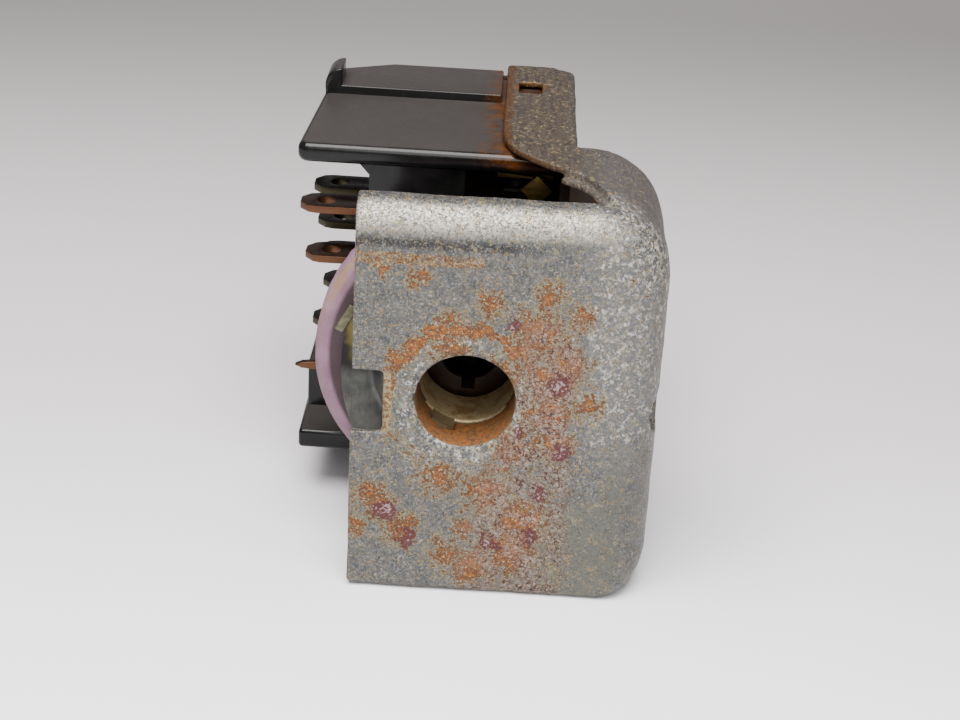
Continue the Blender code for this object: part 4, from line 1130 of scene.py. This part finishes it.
def build_housing():
    guide_bottom = BODY_TOP - GUIDE_THICK
    set_back = 1.3
    body = box("moulded_housing", (BODY_LEFT, BODY_FRONT + set_back, BODY_BOTTOM),
               (BODY_RIGHT, BODY_BACK, BODY_TOP - 1.0))
    rear_cut, corner = (BODY_LEFT + 0.8, BODY_BACK), (-24.6, 65.0)
    top_guide = prism(
        "top_guide",
        arc((GUIDE_LEFT_FRONT + 1.6, BODY_FRONT + 1.6), 1.6, 180, 270, 6)
        + [(BODY_RIGHT, BODY_FRONT), (BODY_RIGHT, BODY_BACK), rear_cut, corner, (GUIDE_LEFT_BACK, 64.2)],
        "XY", guide_bottom, BODY_TOP,
    )
    soften(top_guide, 1.25, 6)
    raised_right = STRAP_LEFT - 2 * SLACK
    raised = prism(
        "raised_rear",
        [(GUIDE_LEFT_BACK + 0.05, STEP_Y), (raised_right, STEP_Y), (raised_right, BODY_BACK - 0.05),
         (rear_cut[0], BODY_BACK - 0.05), corner, (GUIDE_LEFT_BACK + 0.05, 64.2)],
        "XY", guide_bottom + 0.5, STEP_TOP,
    )
    soften(raised, 0.3, 3)
    ramp = prism(
        "latch_ramp",
        [(GUIDE_LEFT_BACK, STEP_TOP - 1)] + arc((-23.5, STEP_TOP), 2.7, 180, 90, 14)
        + [(-23.5, STEP_TOP - 1)],
        "XZ", STEP_Y, 62.0,
    )
    soften(ramp, 0.3, 3)
    gusset = prism(
        "gusset",
        [(BODY_LEFT - 1.6, guide_bottom + 1), (BODY_LEFT - 1.6, guide_bottom),
         (BODY_LEFT, guide_bottom - 1.8), (BODY_LEFT + 1, guide_bottom - 1.8),
         (BODY_LEFT + 1, guide_bottom + 1)],
        "XZ", BODY_FRONT + set_back + 0.3, BODY_BACK - 1,
    )
    low_guide = box("low_guide", (-26.8, BODY_FRONT + 0.02, LOW_GUIDE_BOTTOM),
                    (BODY_LEFT + 2, 58.0, LOW_GUIDE_BOTTOM + GUIDE_THICK))
    soften(low_guide, 0.7, 4)
    low_block = box("low_block", (-26.4, 38.0, LOW_GUIDE_BOTTOM + 1), (BODY_LEFT + 2, 52.0, 19.0))
    soften(low_block, 0.7, 4)
    join(body, top_guide, raised, ramp, gusset, low_guide, low_block)

    inside = (BODY_LEFT + WALL, BODY_FRONT + 2, BODY_BOTTOM + GUIDE_THICK)
    cavity = box("cavity", inside, (BODY_RIGHT + 5, BODY_BACK - WALL, guide_bottom))
    mouth = box("mouth", (FRONT_WALL_RIGHT, BODY_FRONT - 5, inside[2]),
                (BODY_RIGHT + 5, BODY_FRONT + 6, guide_bottom))
    cut(body, cavity, mouth, rod("shaft_hole", 5.5, BODY_FRONT - 3, BODY_FRONT + 4, steps=64))
    for name in BLADES:
        low, high = own(name)
        middle, half = blade_height(name), 0.85
        cut(body, box(name + "_slot", (BODY_LEFT - 12, low.y - SLACK, middle - half),
                      (BODY_LEFT + WALL + 1, high.y + SLACK, middle + half)))
    for near_y in (36.0, 56.0):
        join(body, box("rail", (-1.5, near_y, BODY_BOTTOM + 1), (1.5, near_y + 8, 21.2)))
    soften(body, 0.16, 2, 40)
    stand_for(body, "terminal_housing")


def blade_height(name):
    """The middle of a blade's thickness: its pad reaches equally far above and below."""
    low, high = own(name)
    return (low.z + high.z) / 2


def build_boards():
    low, high = own("side_cover")
    side = box("fibre_side", low, high)
    button = own("release_button")
    button_y = (button[0].y + button[1].y) / 2
    cut(side, rod("button_hole", 2.2, 10, 16, "X", (0, button_y, SHAFT_Z), 48))
    soften(side, 0.2, 2)
    stand_for(side, "side_cover")
    low, high = own("rear_board")
    rear = box("fibre_rear", low, (BODY_RIGHT, high.y, high.z))
    flange = [(BODY_RIGHT - 1, low.z + 0.01), (high.x, low.z + 0.01), (high.x, 39.5), (18.0, 44.5),
              (BODY_RIGHT - 1, 44.5)]
    join(rear, prism("rear_flange", flange, "XZ", low.y, high.y - 0.01))
    rivets = [node for node in SLOTS if node.startswith("board_rivet")]
    for node in rivets:
        rivet_low, rivet_high = own(node)
        spot = ((rivet_low.x + rivet_high.x) / 2, 0, (rivet_low.z + rivet_high.z) / 2)
        cut(rear, rod("rivet_hole", 1.8, 66, 76, at=spot, steps=40))
        head, back = 2.8, rivet_high.y
        dome = [(head * math.cos(a), back - 1.0 + 1.0 * math.sin(a)) for a in
                [math.pi / 2 * i / 8 for i in range(1, 8)]]
        rivet = lathe(node + "_domed", [(0, rivet_low.y), (1.4, rivet_low.y), (1.4, 71.6), (head - 0.1, 71.6),
                                        (head, back - 0.95)] + dome + [(0, back)],
                      at=spot, steps=48, closed=False)
        smooth(rivet, 40)
        stand_for(rivet, node)
    soften(rear, 0.35, 3)
    stand_for(rear, "rear_board")


# Terminals

def build_blades():
    thick, hole, chamfer, draw, pad_x, pad_thick = 1.1, 1.5, 1.3, 2.0, -14.0, 0.9
    for name in BLADES:
        low, high = own(name)
        tip, near, far, z = low.x, low.y, high.y, blade_height(name)
        outline = [(tip, near + draw), (tip + chamfer, near + 0.4), (tip + 2.6, near), (pad_x + 0.5, near),
                   (pad_x + 0.5, far), (tip + 2.6, far), (tip + chamfer, far - 0.4), (tip, far - draw)]
        blade = prism(name + "_tab", outline, "XY", z - thick / 2, z + thick / 2)
        middle = (near + far) / 2
        cut(blade, rod("hole", hole, z - 2, z + 2, "Z", (tip + 4.0, middle, 0), 40))
        pinch = lathe("detent", [(0, z + 0.30), (0.5, z + 0.42), (0.85, z + 2), (0, z + 2)], "Z",
                      (tip + 9.0, middle, 0), 32, closed=False)
        cut(blade, pinch)
        join(blade, box("pad", (pad_x, near + 0.4, z - 2.4), (pad_x + pad_thick, far - 0.4, z + 2.4)))
        soften(blade, 0.22, 3)
        knead(blade, 0.05, 3.0, z)
        stand_for(blade, name)
    pin = prism(
        "pin_tab",
        [(-27.3, 23.4), (-26.2, 22.95), (-24.6, 22.8), (-19.0, 22.8), (-19.0, 24.1), (-24.6, 24.1),
         (-26.2, 23.9)],
        "XZ", 26.2, 27.4,
    )
    join(pin, box("pin_strip", (-20.0, 26.2, 21.4), (-13.4, 26.7, 25.6)))
    soften(pin, 0.18, 3)
    stand_for(pin, "dome_light_pin")
    leaf = box("leaf_strip", (-15.6, 25.4, 11.0), (-13.6, 25.9, 27.0))
    join(leaf, box("leaf_foot", (-16.4, 25.41, 10.0), (-12.0, 25.89, 13.5)))
    soften(leaf, 0.12, 2)
    stand_for(leaf, "dome_light_leaf")
    low, high = own("leaf_rivet")
    profile = [(0, low.y), (0.8, low.y + 0.1), (1.2, low.y + 0.5), (1.2, high.y), (0, high.y)]
    rivet = lathe("leaf_rivet_domed", profile, at=((low.x + high.x) / 2, 0, (low.z + high.z) / 2), steps=40,
                  closed=False)
    smooth(rivet, 40)
    stand_for(rivet, "leaf_rivet")


# Inside

def spring(name, node, radius, wire_radius, turns):
    """A compression spring along X, closer wound at its ends, in the room of its CAD node."""
    low, high = own(node)
    middle = (low + high) / 2
    per_turn = 20
    count = int(turns * per_turn)
    span = high.x - low.x - 2 * wire_radius
    points = []
    for step in range(count + 1):
        share = step / count
        eased = share - 0.06 * math.sin(2 * math.pi * share)
        angle = 2 * math.pi * step / per_turn
        x = low.x + wire_radius + span * eased
        points.append((x, middle.y + radius * math.cos(angle), middle.z + radius * math.sin(angle)))
    stand_for(tube(name, points, wire_radius, 3), node)


def build_inside():
    for name in ("upper", "middle", "lower"):
        spring("spring_" + name, "contact_spring_" + name, 1.8, 0.3, 4.5)
        low, high = own("contact_" + name)
        contact = box("bridge_" + name, low, high)
        soften(contact, 0.3, 3)
        stand_for(contact, "contact_" + name)
    spring("ball_spring", "detent_spring", 1.3, 0.25, 5.5)
    spring("return_spring", "button_spring", 2.7, 0.3, 5)
    low, high = own("detent_ball")
    middle = (low + high) / 2
    radius = (high.x - low.x) / 2
    angles = [math.pi * i / 24 for i in range(1, 24)]
    profile = [(radius * math.sin(a), -radius * math.cos(a)) for a in angles]
    ball = lathe("steel_ball", [(0, -radius)] + profile + [(0, radius)], "X",
                 (middle.x, middle.y, middle.z), 48, closed=False)
    smooth(ball, 60)
    stand_for(ball, "detent_ball")
    low, high = own("release_button")
    spot = (0, (low.y + high.y) / 2, (low.z + high.z) / 2)
    head, stem, tip, top = 3.8, 1.9, low.x, high.x
    crown = [(head - 0.9 + 0.9 * math.cos(a), top - 0.9 + 0.9 * math.sin(a)) for a in
             [math.pi / 2 * i / 6 for i in range(7)]]
    profile = [(0, tip), (stem - 0.2, tip), (stem, tip + 0.2), (stem, 11.0), (stem - 0.5, 11.0),
               (stem - 0.5, 11.7), (stem, 11.7), (stem, top - 2.4), (head, top - 2.4)]
    profile += crown + [(0, top - 0.15)]
    button = lathe("moulded_button", profile, "X", spot, 64, closed=False)
    smooth(button, 40)
    stand_for(button, "release_button")
    low, high = own("breaker_bracket")
    bracket = box("bracket_strip", (low.x, 31.0, 54.5), (high.x, 44.0, high.z))
    lug = box("bracket_lug", (-1.7, -0.5, -1.7), (1.7, 0.5, 1.7))
    tilt_at(lug, (8.6, 30.6, 52.9), 45)
    join(bracket, lug)
    soften(bracket, 0.12, 2)
    stand_for(bracket, "breaker_bracket")
    for node in ("contact_carriage", "shaft_latch", "detent_plate", "button_clip", "breaker_arm",
                 "breaker_contact_moving", "breaker_contact_fixed", "breaker_post"):
        keep_node(node)


# Scene

def look_from():
    """The camera: where it stands, how far down, how far aside and how tilted it looks."""
    down, aside, roll = math.radians(24.136), math.radians(0.564), math.radians(3.239)
    ahead = Vector((-math.sin(aside) * math.cos(down), math.cos(aside) * math.cos(down), -math.sin(down)))
    right = Vector((math.cos(aside), math.sin(aside), 0))
    up = right.cross(ahead)
    side = math.cos(roll) * right + math.sin(roll) * up
    top = -math.sin(roll) * right + math.cos(roll) * up
    matrix = Matrix((side, top, -ahead)).transposed().to_4x4()
    matrix.translation = place(4.264, -251.087, 150.408)
    data = bpy.data.cameras.new("camera")
    data.sensor_width = 36.0
    data.lens = 73.5
    data.clip_start = 0.01
    camera = bpy.data.objects.new("camera", data)
    camera.matrix_world = matrix
    bpy.context.scene.collection.objects.link(camera)
    bpy.context.scene.camera = camera


def lamp(name, spot, target, size, power, colour=(1, 1, 1)):
    data = bpy.data.lights.new(name, "AREA")
    data.shape = "RECTANGLE"
    data.size, data.size_y = size
    data.energy = power
    data.color = colour
    made = bpy.data.objects.new(name, data)
    made.location = place(*spot)
    direction = place(*target) - made.location
    made.rotation_euler = direction.to_track_quat("-Z", "Y").to_euler()
    bpy.context.scene.collection.objects.link(made)


def build_floor():
    """A pale sheet that rises behind the switch."""
    width, front, back, rise = 1.2, -0.5, 0.62, 0.9
    profile = [(front, 0.0), (back - 0.3, 0.0)]
    profile += [(back - 0.3 + 0.3 * math.sin(a), 0.3 - 0.3 * math.cos(a)) for a in
                [math.pi / 2 * i / 16 for i in range(1, 17)]]
    profile += [(back, rise)]
    shape = bmesh.new()
    rows = [[shape.verts.new((side * width, y, z + ORIGIN.z)) for side in (-1, 1)] for y, z in profile]
    for low, high in zip(rows, rows[1:]):
        shape.faces.new((low[0], low[1], high[1], high[0]))
    floor = mesh_object("floor", shape)
    smooth(floor, 60)
    paint = Paint("pale_paper")
    near_shade = paint.mix(paint.noise(0.02, 3.0, 0.5), (0.74, 0.74, 0.76), (0.80, 0.80, 0.83))
    middle = paint.mix(paint.span(paint.axis("Y"), -60.0, 90.0), near_shade, (0.52, 0.49, 0.50))
    shade = paint.mix(paint.span(paint.axis("Y"), 90.0, 340.0), middle, (0.31, 0.29, 0.295))
    paint.set(colour=shade, rough=0.55, specular=0.3)
    floor.data.materials.append(paint.material)


def build_light():
    world = bpy.data.worlds.new("studio")
    world.use_nodes = True
    background = world.node_tree.nodes["Background"]
    background.inputs["Color"].default_value = (0.95, 0.97, 1.0, 1.0)
    background.inputs["Strength"].default_value = 0.32
    bpy.context.scene.world = world
    lamp("overhead", (-40, -120, 400), (0, 30, 30), (0.34, 0.26), 7.0, (1.0, 0.98, 0.96))
    lamp("front_high", (50, -330, 250), (0, 10, 32), (0.3, 0.2), 1.5, (1.0, 0.99, 0.97))


look_from()
build_floor()
build_light()
build_frame()
build_cup()
build_disc()
build_coil()
build_rotor()
build_housing()
build_boards()
build_blades()
build_inside()
